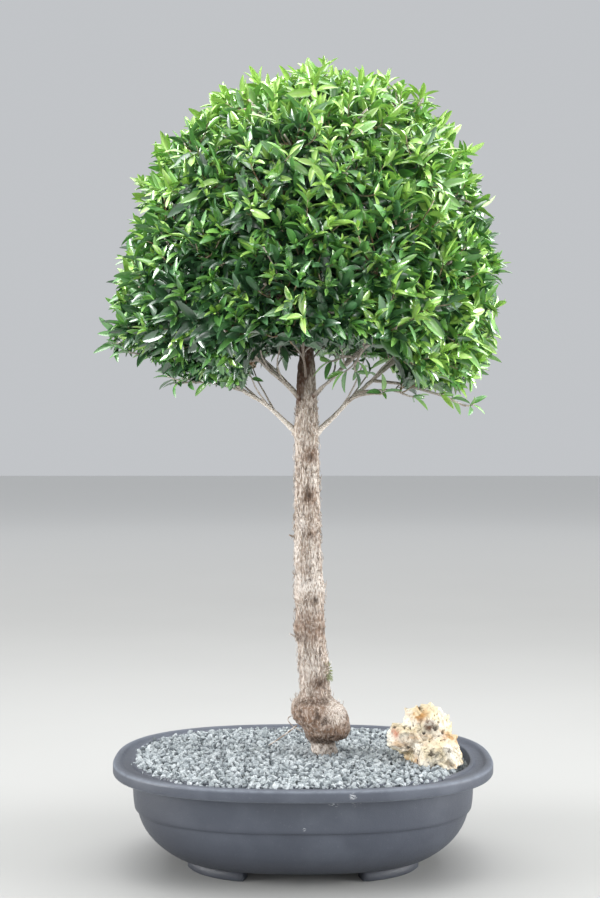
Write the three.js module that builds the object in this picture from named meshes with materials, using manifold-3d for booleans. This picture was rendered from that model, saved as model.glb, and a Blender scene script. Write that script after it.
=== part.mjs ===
// Brush cherry bonsai trained as a standard: a bare trunk and a clipped, domed crown, in an oval
// training pot that is topped with gravel and holds an accent stone.
// Millimetres. +Z is up, +X runs along the pot, and the front of the pot faces -Y.
// The origin is on the standing surface, under the middle of the pot.
import * as THREE from "three";
import { mergeVertices } from "three/addons/utils/BufferGeometryUtils.js";
import Module from "manifold-3d";

const wasm = await Module();
wasm.setup();

// Driving dimensions

const CLEARANCE = 0.3; // between neighbouring pieces

const POT = {
  halfLength: 175.5,
  halfDepth: 131.5,
  height: 98,
  footHeight: 9,
  wall: 3,
  power: 2.5, // of the oval, where 2 is an ellipse
  sides: 40,
};
const RIM = { band: 11, overhang: 18, bead: 6, groove: 1.5, edge: 1.5 };
const POT_BASE = { halfLength: 116, halfDepth: 81, fullness: 3.6, round: 3 };
const WALL_STEPS = { lower: [0.06, 0.2, 0.42], upper: 0.5, inner: 0.3 }; // shares of the height, for rings
const BELT = { height: 56, step: 1.3, lip: 1.2 };
const FOOT = { from: 0.3, to: 1.08, nudge: 0.01, inset: 8, width: 18, steps: 6, bite: 2 }; // turns in radians

const GRAVEL = { height: 98, edgeDrop: 5, spill: 1.5 };
// How the bed rises from its edge: distance in from the edge, and share of the rise
const GRAVEL_SLOPE = [
  { inset: 0, rise: 0 },
  { inset: 8, rise: 0.75 },
  { inset: 18, rise: 1 },
];
// The uneven top of the bed: rings further in, whose points lie up to a depth below the bed's height
const GRAVEL_RELIEF = { rings: 4, step: 18, depth: 2.4 };

const TRUNK = {
  x: 3, // of the upright upper trunk
  lean: 17.5, // that the foot stands to the right of it
  leanHeight: 80,
  y: 5,
  footRadius: 11.5,
  neckHeight: 13, // of the bare foot under the burl
  neckBlend: 2.5,
  forkHeight: 403,
  tipHeight: 645,
  sides: 11,
  step: 15,
  burlStep: 4,
  burlTop: 166,
};
// Radius of the trunk at heights from the ground to the tip
const TAPER = [
  { height: GRAVEL.height, radius: 14.4 },
  { height: 253, radius: 13.6 },
  { height: TRUNK.forkHeight, radius: 11.2 },
  { height: 453, radius: 9.2 },
  { height: 488, radius: 6 },
  { height: TRUNK.tipHeight, radius: 2.4 },
];
// Swellings on the trunk: angle round it, height, size, how far each spreads up and round, and how
// square its profile is. The first three make the burl.
const SWELLINGS = [
  { angle: -0.3, height: 129, out: 14, tall: 18, wide: 1.15, power: 4 },
  { angle: 3.0, height: 138, out: 10, tall: 13, wide: 1.2, power: 4 },
  { angle: -1.6, height: 131, out: 8, tall: 18, wide: 0.9, power: 4 },
  { angle: 0.6, height: 250, out: 2.6, tall: 10, wide: 2.2, power: 2 },
  { angle: 3.3, height: 215, out: 2.4, tall: 8, wide: 1.0, power: 2 },
  { angle: 0.1, height: 181, out: 2.0, tall: 8, wide: 0.8, power: 2 },
  { angle: 3.1, height: 399, out: 1.8, tall: 9, wide: 1.1, power: 2 },
];

// The clipped outline of the crown: a dome above its widest ring, which leans to the right by its top
const CROWN = { x: 2, lean: 12, waist: 503, radius: 185, dome: 241, domePower: 2.3 };
// The bowl under the widest ring: cut away at the left, deeper and fuller at the right
const BOWL = { left: { depth: 66, power: 2 }, right: { depth: 80, power: 3.4 } };
// The open arch from front to back under the middle, where the boughs show
const ARCH = {
  top: 482,
  left: { foot: 437, inner: 44, outer: 66 },
  right: { foot: 443, inner: 70, outer: 110 },
};

// Rings of foliage masses, from the lowest up
const MASS_RINGS = [
  { name: "skirt", count: 8, reach: 117, height: 496, turn: 0 },
  { name: "shoulder", count: 5, reach: 90, height: 612, turn: -Math.PI / 10 },
  { name: "top", count: 1, reach: 0, height: 682, turn: 0 },
];
const MASS_VARIATION = { turn: 0.07, reach: 0.04, height: 6 };
// Boughs of each ring: height of the foot at the sides, its rise towards front and back, the radii,
// and how far the bough arches over the straight way to its mass
const BOUGH_RINGS = {
  skirt: { foot: 388, rise: 58, footRadius: 3.1, tipRadius: 2, arch: 5 },
  shoulder: { foot: 527, rise: 16, footRadius: 2.5, tipRadius: 1.7, arch: 1 },
};
const BOUGH = { sides: 5, segments: 4, stop: 8, risePower: 1.5 };
const STEM = { run: 14, hubRadius: 1.5, segments: 3 };
const LIMB_CHECK = { trunkStep: 3, boughStep: 0.04 }; // spacing of the places that foliage is kept off

// Cores stop short of the outline, of each other and of the space round the trunk
const CORE = { share: 0.86, margin: 5, trunkSpace: 30, detail: 2 };
const CELL_GAP = 0.6; // between neighbouring masses
const TWIG = { count: 90, lowest: -0.62, from: 0.35, inset: 20, baseRadius: 2.1, tipRadius: 1.1, rise: 0.2 };
const LEAF = { length: 52, width: 19, thickness: 1.2, sunk: 3, pairStep: 5 };
// Leaves of one shoot tip, as [pair down the twig, half-turns round it, lean off the twig]
const SHOOT = [
  [0, 0, 0.72],
  [0, 1, 0.72],
  [1, 0.5, 1.2],
  [1, 1.5, 1.2],
];
const SHOOT_VARIATION = { inset: 0.12, turn: 0.2, lean: 0.12 };
const LEAF_LEANS = [1, 1.35, 0.7, 0.4]; // multiples of its lean that a leaf tries until one fits
const LEAF_OVERSHOOT = 1.06; // share of the outline that a leaf tip may reach
const LEAF_HANG = 10; // below the arch that a leaf may hang
// Low sprigs that hang under the clipped outline
const SPRIGS = [
  { x: 140, y: -18, z: 430 },
  { x: -110, y: -12, z: 446 },
];

const STONE = { x: 112, y: -17, seat: 46, cap: 0.55, detail: 7 };
const STONE_HEART = new THREE.Vector3(-4, -3, 14); // a point inside all the blocks, from the stone's place
// The blocks of the stone: middle and half of the depth, and corners of the front outline, from its place
const STONE_BLOCKS = [
  {
    middle: 0,
    halfDepth: 20,
    outline: [[-17, -20], [26, -20], [25, 28], [21, 39], [5, 51], [-18, 45], [-20, 30]],
  },
  {
    middle: -4,
    halfDepth: 15,
    outline: [[-22, 5], [6, 5], [6, 33], [-20, 34], [-31, 32], [-35, 22], [-33, 13]],
  },
  {
    middle: -12,
    halfDepth: 22,
    outline: [[-14, -16], [31, -16], [34, 8], [27, 24], [10, 28], [-14, 20]],
  },
];
const STONE_CHIPS = { count: 60, tilt: 0.22 };

const LEVEL_LIMIT = 1e-3; // sine of the angle off the vertical below which a limb counts as upright
const GOLDEN_TURN = Math.PI * (3 - Math.sqrt(5));
const SPREADS = [0.7548776662, 0.5698402910, 0.4301597090]; // irrational steps, one for each channel

// Materials

const finish = (color, roughness, metalness = 0) =>
  new THREE.MeshStandardMaterial({ color, roughness, metalness });
const MATERIALS = {
  plastic: finish(0x4a4f59, 0.5),
  gravel: finish(0x9aa5a6, 0.95),
  stone: finish(0xd8c9a6, 0.9),
  bark: finish(0xa08c76, 0.95),
  twig: finish(0xa69a88, 0.85),
  leaf: finish(0x4f9a2c, 0.4),
};

// Geometry helpers

// A value from -1 to 1 that is set by an index and spreads evenly as the index runs
function vary(index, channel) {
  const turns = (index + 1) * SPREADS[channel];
  return 2 * (turns - Math.floor(turns)) - 1;
}

function blend(from, to, share) {
  return from + (to - from) * share;
}

// 0 below low, 1 above high, and a smooth rise between
function ease(value, low, high) {
  return THREE.MathUtils.smoothstep(value, low, high);
}

// A closed skin over a row of rings with equal numbers of points, with a fan across each end
function loft(rings) {
  const sides = rings[0].length;
  const points = rings.flat();
  const faces = [];
  for (let ring = 0; ring + 1 < rings.length; ring++)
    for (let side = 0; side < sides; side++) {
      const a = ring * sides + side;
      const b = ring * sides + ((side + 1) % sides);
      faces.push(a, b, b + sides, a, b + sides, a + sides);
    }
  const middle = (ring) =>
    ring.reduce((sum, p) => sum.add(p), new THREE.Vector3()).divideScalar(sides);
  const first = points.push(middle(rings[0])) - 1;
  const last = points.push(middle(rings.at(-1))) - 1;
  const lastRing = (rings.length - 1) * sides;
  for (let side = 0; side < sides; side++) {
    const next = (side + 1) % sides;
    faces.push(first, next, side, last, lastRing + side, lastRing + next);
  }
  const geometry = new THREE.BufferGeometry().setFromPoints(points);
  geometry.setIndex(faces);
  return geometry;
}

// A level direction across another one
function sideOf(direction) {
  const side = new THREE.Vector3(0, 0, 1).cross(direction);
  return side.length() < LEVEL_LIMIT ? side.set(1, 0, 0) : side.normalize();
}

// A ring of points across a direction, at a radius
function crossRing(centre, direction, radius, sides) {
  const along = direction.clone().normalize();
  const side = sideOf(along);
  const up = along.clone().cross(side);
  return Array.from({ length: sides }, (_, i) => {
    const turn = (2 * Math.PI * i) / sides;
    return centre
      .clone()
      .addScaledVector(side, radius * Math.cos(turn))
      .addScaledVector(up, radius * Math.sin(turn));
  });
}

// A tapering limb along a curve
function limb(curve, startRadius, endRadius, sides, segments) {
  const rings = [];
  for (let i = 0; i <= segments; i++) {
    const t = i / segments;
    const radius = blend(startRadius, endRadius, t);
    rings.push(crossRing(curve.getPoint(t), curve.getTangent(t), radius, sides));
  }
  return loft(rings);
}

// A closed geometry as a solid for joining and cutting
function solidOf(geometry) {
  const bare = geometry.clone();
  bare.deleteAttribute("normal");
  bare.deleteAttribute("uv");
  const merged = mergeVertices(bare);
  return new wasm.Manifold(
    new wasm.Mesh({
      numProp: 3,
      vertProperties: new Float32Array(merged.getAttribute("position").array),
      triVerts: new Uint32Array(merged.index.array),
    }),
  );
}

function geometryOf(solid) {
  const mesh = solid.getMesh();
  const geometry = new THREE.BufferGeometry();
  geometry.setAttribute("position", new THREE.BufferAttribute(mesh.vertProperties, 3));
  geometry.setIndex(new THREE.BufferAttribute(mesh.triVerts, 1));
  return geometry;
}

// The largest body of a solid, so that a loose scrap is dropped
function largestBody(solid) {
  return solid.decompose().reduce((best, body) => (body.volume() > best.volume() ? body : best));
}

const bonsai = new THREE.Group();

function addPiece(name, geometry, material) {
  geometry.computeVertexNormals();
  const mesh = new THREE.Mesh(geometry, material.clone());
  mesh.name = name;
  bonsai.add(mesh);
}

// Pot: one moulding, a wall carried round an oval, with four feet under the turns

function ovalPoint(halfLength, halfDepth, turn, z) {
  const c = Math.cos(turn);
  const s = Math.sin(turn);
  const reach = (Math.abs(c) ** POT.power + Math.abs(s) ** POT.power) ** (-1 / POT.power);
  return new THREE.Vector3(halfLength * c * reach, halfDepth * s * reach, z);
}

function ovalRing(halfLength, halfDepth, z) {
  return Array.from({ length: POT.sides }, (_, i) =>
    ovalPoint(halfLength, halfDepth, (2 * Math.PI * i) / POT.sides, z),
  );
}

// The rim's own outline, moved inwards
function rimRing(inset, z) {
  return ovalRing(POT.halfLength - inset, POT.halfDepth - inset, z);
}

// The bowl of the pot between its base and the underside of the rim, moved inwards
function wallRing(z, inset) {
  const rimUnder = POT.height - RIM.band;
  const rise = THREE.MathUtils.clamp((z - POT.footHeight) / (rimUnder - POT.footHeight), 0, 1);
  const swell = 1 - (1 - rise) ** POT_BASE.fullness;
  const halfLength = blend(POT_BASE.halfLength, POT.halfLength - RIM.overhang, swell);
  const halfDepth = blend(POT_BASE.halfDepth, POT.halfDepth - RIM.overhang, swell);
  return ovalRing(halfLength - inset, halfDepth - inset, z);
}

function potBody() {
  const base = POT.footHeight;
  const top = POT.height;
  const under = top - RIM.band;
  const ledge = top - RIM.groove;
  const inner = RIM.overhang + POT.wall;
  const lowerWall = WALL_STEPS.lower.map((share) => blend(base, BELT.height, share));
  const upperWall = [blend(BELT.height, under, WALL_STEPS.upper), under];
  const innerWall = [under, BELT.height, blend(base, BELT.height, WALL_STEPS.inner)];
  return loft([
    wallRing(base, POT_BASE.round),
    ...lowerWall.map((z) => wallRing(z, BELT.step)),
    wallRing(BELT.height - BELT.lip, BELT.step),
    wallRing(BELT.height, 0),
    ...upperWall.map((z) => wallRing(z, 0)),
    rimRing(RIM.edge, under),
    rimRing(0, under + RIM.edge),
    rimRing(0, top - RIM.edge),
    rimRing(RIM.edge, top),
    rimRing(RIM.bead, top),
    rimRing(RIM.bead + RIM.edge, ledge),
    rimRing(inner - RIM.edge, ledge),
    rimRing(inner, ledge - RIM.edge),
    ...innerWall.map((z) => wallRing(z, BELT.step + POT.wall)),
    wallRing(base + POT.wall, BELT.step + POT.wall),
  ]);
}

// One foot: a stretch of the base's outline with an even width, as tall as the gap under the pot
function potFoot(lengthSign, depthSign) {
  const outline = (turn) =>
    ovalPoint(POT_BASE.halfLength - FOOT.inset, POT_BASE.halfDepth - FOOT.inset, turn, 0);
  const outer = [];
  const inner = [];
  for (let i = 0; i <= FOOT.steps; i++) {
    const turn = blend(FOOT.from, FOOT.to, i / FOOT.steps);
    const point = outline(turn);
    const along = outline(turn + FOOT.nudge).sub(outline(turn - FOOT.nudge)).normalize();
    outer.push([point.x, point.y]);
    inner.unshift([point.x - FOOT.width * along.y, point.y + FOOT.width * along.x]);
  }
  const corners = [...outer, ...inner].map(([x, y]) => new THREE.Vector2(x * lengthSign, y * depthSign));
  const shape = new THREE.Shape(corners);
  return new THREE.ExtrudeGeometry(shape, { depth: POT.footHeight + FOOT.bite, bevelEnabled: false });
}

function potSolid() {
  const feet = [1, -1].flatMap((x) => [1, -1].map((y) => solidOf(potFoot(x, y))));
  return feet.reduce((pot, foot) => pot.add(foot), solidOf(potBody()));
}

// Gravel and soil: a bed that fills the pot and is nearly level with the rim

// A ring of the bed's uneven top. It stays level under the trunk and the stone, which stand on it.
function gravelRing(ring, inset) {
  const foot = trunkAxis(GRAVEL.height);
  const seats = [
    { x: foot.x, y: foot.y, radius: TRUNK.footRadius },
    { x: STONE.x, y: STONE.y, radius: STONE.seat },
  ];
  return rimRing(inset, GRAVEL.height).map((point, side) => {
    const clear = seats.map(({ x, y, radius }) => Math.hypot(point.x - x, point.y - y) - radius);
    const share = ease(Math.min(...clear), 0, GRAVEL_RELIEF.step);
    const dip = (1 + vary(ring * POT.sides + side, ring % SPREADS.length)) / 2;
    point.z -= GRAVEL_RELIEF.depth * share * dip;
    return point;
  });
}

function gravelBed() {
  const floor = POT.footHeight + POT.wall + CLEARANCE;
  const inset = BELT.step + POT.wall + CLEARANCE;
  const shore = GRAVEL.height - GRAVEL.edgeDrop;
  const rimInside = RIM.overhang + POT.wall + CLEARANCE + GRAVEL.spill;
  const under = POT.height - RIM.band;
  const slopeEnd = rimInside + GRAVEL_SLOPE.at(-1).inset;
  return loft([
    wallRing(floor, inset),
    wallRing(blend(POT.footHeight, BELT.height, WALL_STEPS.inner), inset),
    wallRing(BELT.height, inset),
    wallRing(under, inset),
    ...GRAVEL_SLOPE.map((step) => rimRing(rimInside + step.inset, blend(shore, GRAVEL.height, step.rise))),
    ...Array.from({ length: GRAVEL_RELIEF.rings }, (_, ring) =>
      gravelRing(ring, slopeEnd + (ring + 1) * GRAVEL_RELIEF.step),
    ),
  ]);
}

// Trunk

function trunkAxis(z) {
  const x = TRUNK.x + TRUNK.lean * Math.exp(-(z - GRAVEL.height) / TRUNK.leanHeight);
  return new THREE.Vector3(x, blend(TRUNK.y, 0, ease(z, GRAVEL.height, TRUNK.forkHeight)), z);
}

function trunkTaper(z) {
  const next = Math.max(1, TAPER.findIndex((station) => station.height >= z));
  const [below, above] = [TAPER[next - 1], TAPER[next]];
  return blend(below.radius, above.radius, (z - below.height) / (above.height - below.height));
}

function trunkRadius(angle, z) {
  const neck = GRAVEL.height + TRUNK.neckHeight;
  const aboveNeck = ease(z, neck - TRUNK.neckBlend, neck + TRUNK.neckBlend);
  let radius = blend(TRUNK.footRadius, trunkTaper(z), aboveNeck);
  for (const bump of SWELLINGS) {
    const turn = Math.atan2(Math.sin(angle - bump.angle), Math.cos(angle - bump.angle));
    const rise = Math.abs(z - bump.height) / bump.tall;
    radius += bump.out * aboveNeck * Math.exp(-((turn / bump.wide) ** 2) - rise ** bump.power);
  }
  return radius;
}

// Heights of the trunk's rings: close together on the burl, wider apart above it
function trunkHeights() {
  const heights = [];
  const foot = GRAVEL.height + CLEARANCE;
  for (let z = foot; z < TRUNK.burlTop; z += TRUNK.burlStep) heights.push(z);
  for (let z = TRUNK.burlTop; z < TRUNK.tipHeight - TRUNK.step / 2; z += TRUNK.step) heights.push(z);
  heights.push(TRUNK.tipHeight);
  return heights;
}

// The trunk's skin, grown by a margin
function trunkSkin(margin) {
  const ring = (z) => {
    const axis = trunkAxis(z);
    return Array.from({ length: TRUNK.sides }, (_, i) => {
      const angle = (2 * Math.PI * i) / TRUNK.sides;
      const radius = trunkRadius(angle, z) + margin;
      return new THREE.Vector3(axis.x + radius * Math.cos(angle), axis.y + radius * Math.sin(angle), z);
    });
  };
  return loft(trunkHeights().map(ring));
}

// Crown: where each mass of foliage may grow

const crownMiddle = new THREE.Vector3(CROWN.x, 0, CROWN.waist);

// How far out a point lies: 0 at the crown's middle, 1 on its clipped outline
function outlineShare(point) {
  const rise = point.z - CROWN.waist;
  const sideways = point.x - CROWN.x - (CROWN.lean * Math.max(rise, 0)) / CROWN.dome;
  const across = Math.hypot(sideways, point.y);
  const rightness = across > 0 ? (1 + sideways / across) / 2 : 0.5;
  const bowlDepth = blend(BOWL.left.depth, BOWL.right.depth, rightness);
  const bowlPower = blend(BOWL.left.power, BOWL.right.power, rightness);
  const [height, power] = rise > 0 ? [CROWN.dome, CROWN.domePower] : [bowlDepth, bowlPower];
  return ((across / CROWN.radius) ** power + (Math.abs(rise) / height) ** power) ** (1 / power);
}

function archHeight(point) {
  const sideways = point.x - CROWN.x;
  const side = sideways < 0 ? ARCH.left : ARCH.right;
  return blend(ARCH.top, side.foot, ease(Math.abs(sideways), side.inner, side.outer));
}

// One mass for each place in the rings, with the hub that its twigs spread from
function crownMasses() {
  const found = [];
  for (const ring of MASS_RINGS)
    for (let i = 0; i < ring.count; i++) {
      const place = found.length;
      const name = ring.count > 1 ? `${ring.name}_${i + 1}` : ring.name;
      const turn = ring.turn + (2 * Math.PI * i) / ring.count + MASS_VARIATION.turn * vary(place, 0);
      const reach = ring.reach * (1 + MASS_VARIATION.reach * vary(place, 1));
      const height = ring.height + MASS_VARIATION.height * vary(place, 2);
      const hub = new THREE.Vector3(CROWN.x + reach * Math.cos(turn), reach * Math.sin(turn), height);
      found.push({ name, ring: ring.name, turn, hub });
    }
  return found;
}

const masses = crownMasses();

// True where a point is nearer to this mass's hub than to any other, by a margin and more
function inCell(mass, point, margin = CELL_GAP / 2) {
  return masses.every((other) => {
    if (other === mass) return true;
    const away = other.hub.clone().sub(mass.hub);
    const middle = mass.hub.clone().addScaledVector(away, 0.5);
    return point.clone().sub(middle).dot(away.normalize()) < -margin;
  });
}

// True where the solid core of a mass may be
function inCore(mass, point) {
  const axis = trunkAxis(Math.min(point.z, TRUNK.tipHeight + CORE.margin));
  const offTrunk = point.z > axis.z || Math.hypot(point.x - axis.x, point.y - axis.y) > CORE.trunkSpace;
  const aboveArch = point.z > archHeight(point) + CORE.margin;
  return offTrunk && aboveArch && outlineShare(point) < CORE.share && inCell(mass, point, CORE.margin);
}

// Boughs: one for each mass off the trunk, ending just before the core of the mass

function boughCurve(mass) {
  const ring = BOUGH_RINGS[mass.ring];
  const foot = trunkAxis(ring.foot + ring.rise * Math.abs(Math.sin(mass.turn)) ** BOUGH.risePower);
  const way = mass.hub.clone().sub(foot).normalize();
  const tip = foot.clone();
  while (!inCore(mass, tip)) tip.add(way);
  tip.addScaledVector(way, -BOUGH.stop);
  const middle = foot.clone().lerp(tip, 0.5);
  middle.z += ring.arch;
  return new THREE.QuadraticBezierCurve3(foot, middle, tip);
}

// The stem of a mass runs on from its bough, or from the trunk's tip, to the hub
function stemCurve(mass, limbTip, direction) {
  const start = limbTip.clone().addScaledVector(direction, CLEARANCE);
  const turn = start.clone().addScaledVector(direction, STEM.run);
  return new THREE.QuadraticBezierCurve3(start, turn, mass.hub);
}

// Spheres along the limbs, which leaves and twigs keep clear of
const limbSpheres = [];
for (let z = TRUNK.forkHeight; z < TRUNK.tipHeight; z += LIMB_CHECK.trunkStep)
  limbSpheres.push({ centre: trunkAxis(z), radius: trunkTaper(z) + SWELLINGS.at(-1).out });

const grownTrunk = solidOf(trunkSkin(CLEARANCE));

for (const mass of masses) {
  const ring = BOUGH_RINGS[mass.ring];
  if (!ring) {
    mass.limbTip = trunkAxis(TRUNK.tipHeight);
    mass.limbEnd = new THREE.Vector3(0, 0, 1);
    mass.limbRadius = TAPER.at(-1).radius;
    continue;
  }
  const curve = boughCurve(mass);
  mass.limbTip = curve.getPoint(1);
  mass.limbEnd = curve.getTangent(1);
  mass.limbRadius = ring.tipRadius;
  const bough = solidOf(limb(curve, ring.footRadius, ring.tipRadius, BOUGH.sides, BOUGH.segments));
  mass.bough = largestBody(bough.subtract(grownTrunk));
  for (let t = 0; t <= 1; t += LIMB_CHECK.boughStep)
    limbSpheres.push({ centre: curve.getPoint(t), radius: blend(ring.footRadius, ring.tipRadius, t) });
}

// True where a straight piece from one point to another, this wide, keeps off every limb
function clearOfLimbs(from, to, halfWidth) {
  const run = new THREE.Line3(from, to);
  const nearest = new THREE.Vector3();
  return limbSpheres.every(({ centre, radius }) => {
    run.closestPointToPoint(centre, true, nearest);
    return nearest.distanceTo(centre) > radius + halfWidth + CLEARANCE;
  });
}

// Core: a lump round the hub that fills most of the mass's space

function massCore(mass) {
  const ball = new THREE.IcosahedronGeometry(1, CORE.detail);
  const geometry = mergeVertices(ball.deleteAttribute("normal").deleteAttribute("uv"));
  const position = geometry.getAttribute("position");
  const way = new THREE.Vector3();
  for (let i = 0; i < position.count; i++) {
    way.fromBufferAttribute(position, i).normalize();
    const point = mass.hub.clone();
    while (inCore(mass, point)) point.add(way);
    position.setXYZ(i, point.x, point.y, point.z);
  }
  return geometry;
}

// Twigs: their tips lie on a golden spiral over the outline, so that they are even on all sides

function twigTips() {
  const tips = SPRIGS.map(({ x, y, z }) => ({ point: new THREE.Vector3(x, y, z), sprig: true }));
  for (let i = 0; i < TWIG.count; i++) {
    const up = blend(1, TWIG.lowest, (i + 0.5) / TWIG.count);
    const turn = i * GOLDEN_TURN;
    const flat = Math.sqrt(1 - up * up);
    const way = new THREE.Vector3(flat * Math.cos(turn), flat * Math.sin(turn), up);
    const surface = 1 / outlineShare(crownMiddle.clone().add(way));
    const inset = TWIG.inset * (1 + SHOOT_VARIATION.inset * vary(i, 0));
    const point = crownMiddle.clone().addScaledVector(way, surface - inset);
    point.z = Math.max(point.z, archHeight(point) + CORE.margin);
    tips.push({ point, sprig: false });
  }
  return tips;
}

// A leaf: a flat, pointed lozenge of eight faces from its sunk root to its tip
function leafShape(root, direction, upper) {
  const side = upper.clone().cross(direction).normalize();
  const face = direction.clone().cross(side);
  const frame = new THREE.Matrix4().makeBasis(direction, side, face);
  frame.setPosition(root.clone().addScaledVector(direction, LEAF.length / 2 - LEAF.sunk));
  return new THREE.OctahedronGeometry(1, 0)
    .scale(LEAF.length / 2, LEAF.width / 2, LEAF.thickness / 2)
    .applyMatrix4(frame);
}

function cornersOf(geometry) {
  const position = geometry.getAttribute("position");
  return Array.from({ length: position.count }, (_, i) =>
    new THREE.Vector3().fromBufferAttribute(position, i),
  );
}

// The leaves of one shoot tip, in crossed pairs. A leaf that would leave the mass's space or touch a
// limb tries another lean, and is skipped where none fits.
function shootLeaves(mass, tip, way, index) {
  const side = sideOf(way);
  const leaves = [];
  SHOOT.forEach(([pair, halfTurn, lean], place) => {
    const turn = Math.PI * (halfTurn + SHOOT_VARIATION.turn * vary(index, 1));
    const spread = side.clone().applyAxisAngle(way, turn);
    const tilt = lean + SHOOT_VARIATION.lean * vary(index * SHOOT.length + place, 2);
    const root = tip.point.clone().addScaledVector(way, -LEAF.pairStep * pair);
    for (const share of LEAF_LEANS) {
      const direction = way.clone().multiplyScalar(Math.cos(tilt * share));
      direction.addScaledVector(spread, Math.sin(tilt * share));
      const shape = leafShape(root, direction, way);
      const apex = root.clone().addScaledVector(direction, LEAF.length - LEAF.sunk);
      const inCrown = (p) => outlineShare(p) < LEAF_OVERSHOOT && p.z > archHeight(p) - LEAF_HANG;
      const inside = cornersOf(shape).every((p) => inCell(mass, p) && (tip.sprig || inCrown(p)));
      if (!inside || !clearOfLimbs(root, apex, LEAF.width / 2)) continue;
      leaves.push(shape);
      break;
    }
  });
  return leaves;
}

function massSolid(mass, tips) {
  const stem = stemCurve(mass, mass.limbTip, mass.limbEnd);
  const stemLimb = limb(stem, mass.limbRadius, STEM.hubRadius, BOUGH.sides, STEM.segments);
  const pieces = [massCore(mass), stemLimb];
  for (const { tip, index } of tips) {
    const start = mass.hub.clone().lerp(tip.point, TWIG.from);
    if (!clearOfLimbs(start, tip.point, TWIG.baseRadius)) continue;
    const outward = tip.point.clone().sub(crownMiddle).normalize();
    outward.z += TWIG.rise;
    const way = tip.point.clone().sub(start).normalize().add(outward).normalize();
    pieces.push(limb(new THREE.LineCurve3(start, tip.point), TWIG.baseRadius, TWIG.tipRadius, 3, 1));
    pieces.push(...shootLeaves(mass, tip, way, index));
  }
  return largestBody(wasm.Manifold.union(pieces.map(solidOf)));
}

// Stone: chipped blocks with a flat cut under them, which rests on the gravel

// The planes of a block, as normals and depths. Its outline is drawn in to the front and to the back.
function blockPlanes({ middle, halfDepth, outline }) {
  const corners = outline.map(([x, z]) => new THREE.Vector3(x, middle, z));
  const centre = new THREE.Vector3();
  for (const corner of corners) centre.addScaledVector(corner, 1 / corners.length);
  return [-1, 1].flatMap((side) => {
    const bevels = corners.map((corner, i) => {
      const edge = corners[(i + 1) % corners.length].clone().sub(corner);
      const drawnIn = centre.clone().sub(corner).multiplyScalar(1 - STONE.cap);
      drawnIn.y += side * halfDepth;
      const normal = edge.cross(drawnIn).normalize();
      if (normal.dot(corner.clone().sub(centre)) < 0) normal.negate();
      return { normal, depth: normal.dot(corner) };
    });
    const cap = { normal: new THREE.Vector3(0, side, 0), depth: halfDepth + side * middle };
    return [...bevels, cap];
  });
}

// The point of the bare stone in a direction from its heart: where a ray leaves the last of the blocks
function stonePoint(blocks, way) {
  const exits = blocks.map((planes) => {
    const facing = planes.filter(({ normal }) => normal.dot(way) > LEVEL_LIMIT);
    const runs = facing.map(({ normal, depth }) => (depth - normal.dot(STONE_HEART)) / normal.dot(way));
    return Math.min(...runs);
  });
  return STONE_HEART.clone().addScaledVector(way, Math.max(...exits));
}

// Chips of the stone, spread over it in a golden spiral. Each has a seed point and a slope of its own.
function stoneChips(blocks) {
  return Array.from({ length: STONE_CHIPS.count }, (_, i) => {
    const up = 1 - (2 * i + 1) / STONE_CHIPS.count;
    const flat = Math.sqrt(1 - up * up);
    const turn = i * GOLDEN_TURN;
    const way = new THREE.Vector3(flat * Math.cos(turn), flat * Math.sin(turn), up);
    const slope = new THREE.Vector3(vary(i, 0), vary(i, 1), vary(i, 2));
    return { seed: stonePoint(blocks, way), slope: slope.multiplyScalar(STONE_CHIPS.tilt) };
  });
}

function stoneSolid() {
  const geometry = mergeVertices(
    new THREE.IcosahedronGeometry(1, STONE.detail).deleteAttribute("normal").deleteAttribute("uv"),
  );
  const blocks = STONE_BLOCKS.map(blockPlanes);
  const chips = stoneChips(blocks);
  const position = geometry.getAttribute("position");
  const way = new THREE.Vector3();
  for (let i = 0; i < position.count; i++) {
    way.fromBufferAttribute(position, i).normalize();
    const point = stonePoint(blocks, way);
    const away = chips.map(({ seed }) => seed.distanceTo(point));
    const chip = chips[away.indexOf(Math.min(...away))];
    point.addScaledVector(way, chip.slope.dot(point.clone().sub(chip.seed)));
    position.setXYZ(i, STONE.x + point.x, STONE.y + point.y, GRAVEL.height + point.z);
  }
  const ground = new THREE.BoxGeometry(POT.halfLength, POT.halfLength, GRAVEL.height);
  ground.translate(STONE.x, STONE.y, GRAVEL.height / 2 + CLEARANCE);
  return solidOf(geometry).subtract(solidOf(ground));
}

// Assembly

addPiece("pot", geometryOf(potSolid()), MATERIALS.plastic);
addPiece("gravel_bed", gravelBed(), MATERIALS.gravel);
addPiece("accent_stone", geometryOf(stoneSolid()), MATERIALS.stone);
addPiece("trunk", trunkSkin(0), MATERIALS.bark);

const tipsOf = new Map(masses.map((mass) => [mass, []]));
twigTips().forEach((tip, index) => {
  const owner = masses.find((mass) => inCell(mass, tip.point));
  if (owner) tipsOf.get(owner).push({ tip, index });
});
for (const mass of masses) {
  if (mass.bough) addPiece(`bough_${mass.name}`, geometryOf(mass.bough), MATERIALS.twig);
  addPiece(`foliage_${mass.name}`, geometryOf(massSolid(mass, tipsOf.get(mass))), MATERIALS.leaf);
}

export default bonsai;
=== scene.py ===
# %% [markdown]
# # A brush cherry bonsai in its training pot
# The plant is a small tree trained as a standard: a bare trunk, a clipped round crown, an oval plastic pot
# topped with gravel, and a pale rock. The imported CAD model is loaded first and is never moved. It gives the
# frame that every finer piece is made in. Its box is kept, so that the size of the finished piece can be
# compared at the end.

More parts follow.
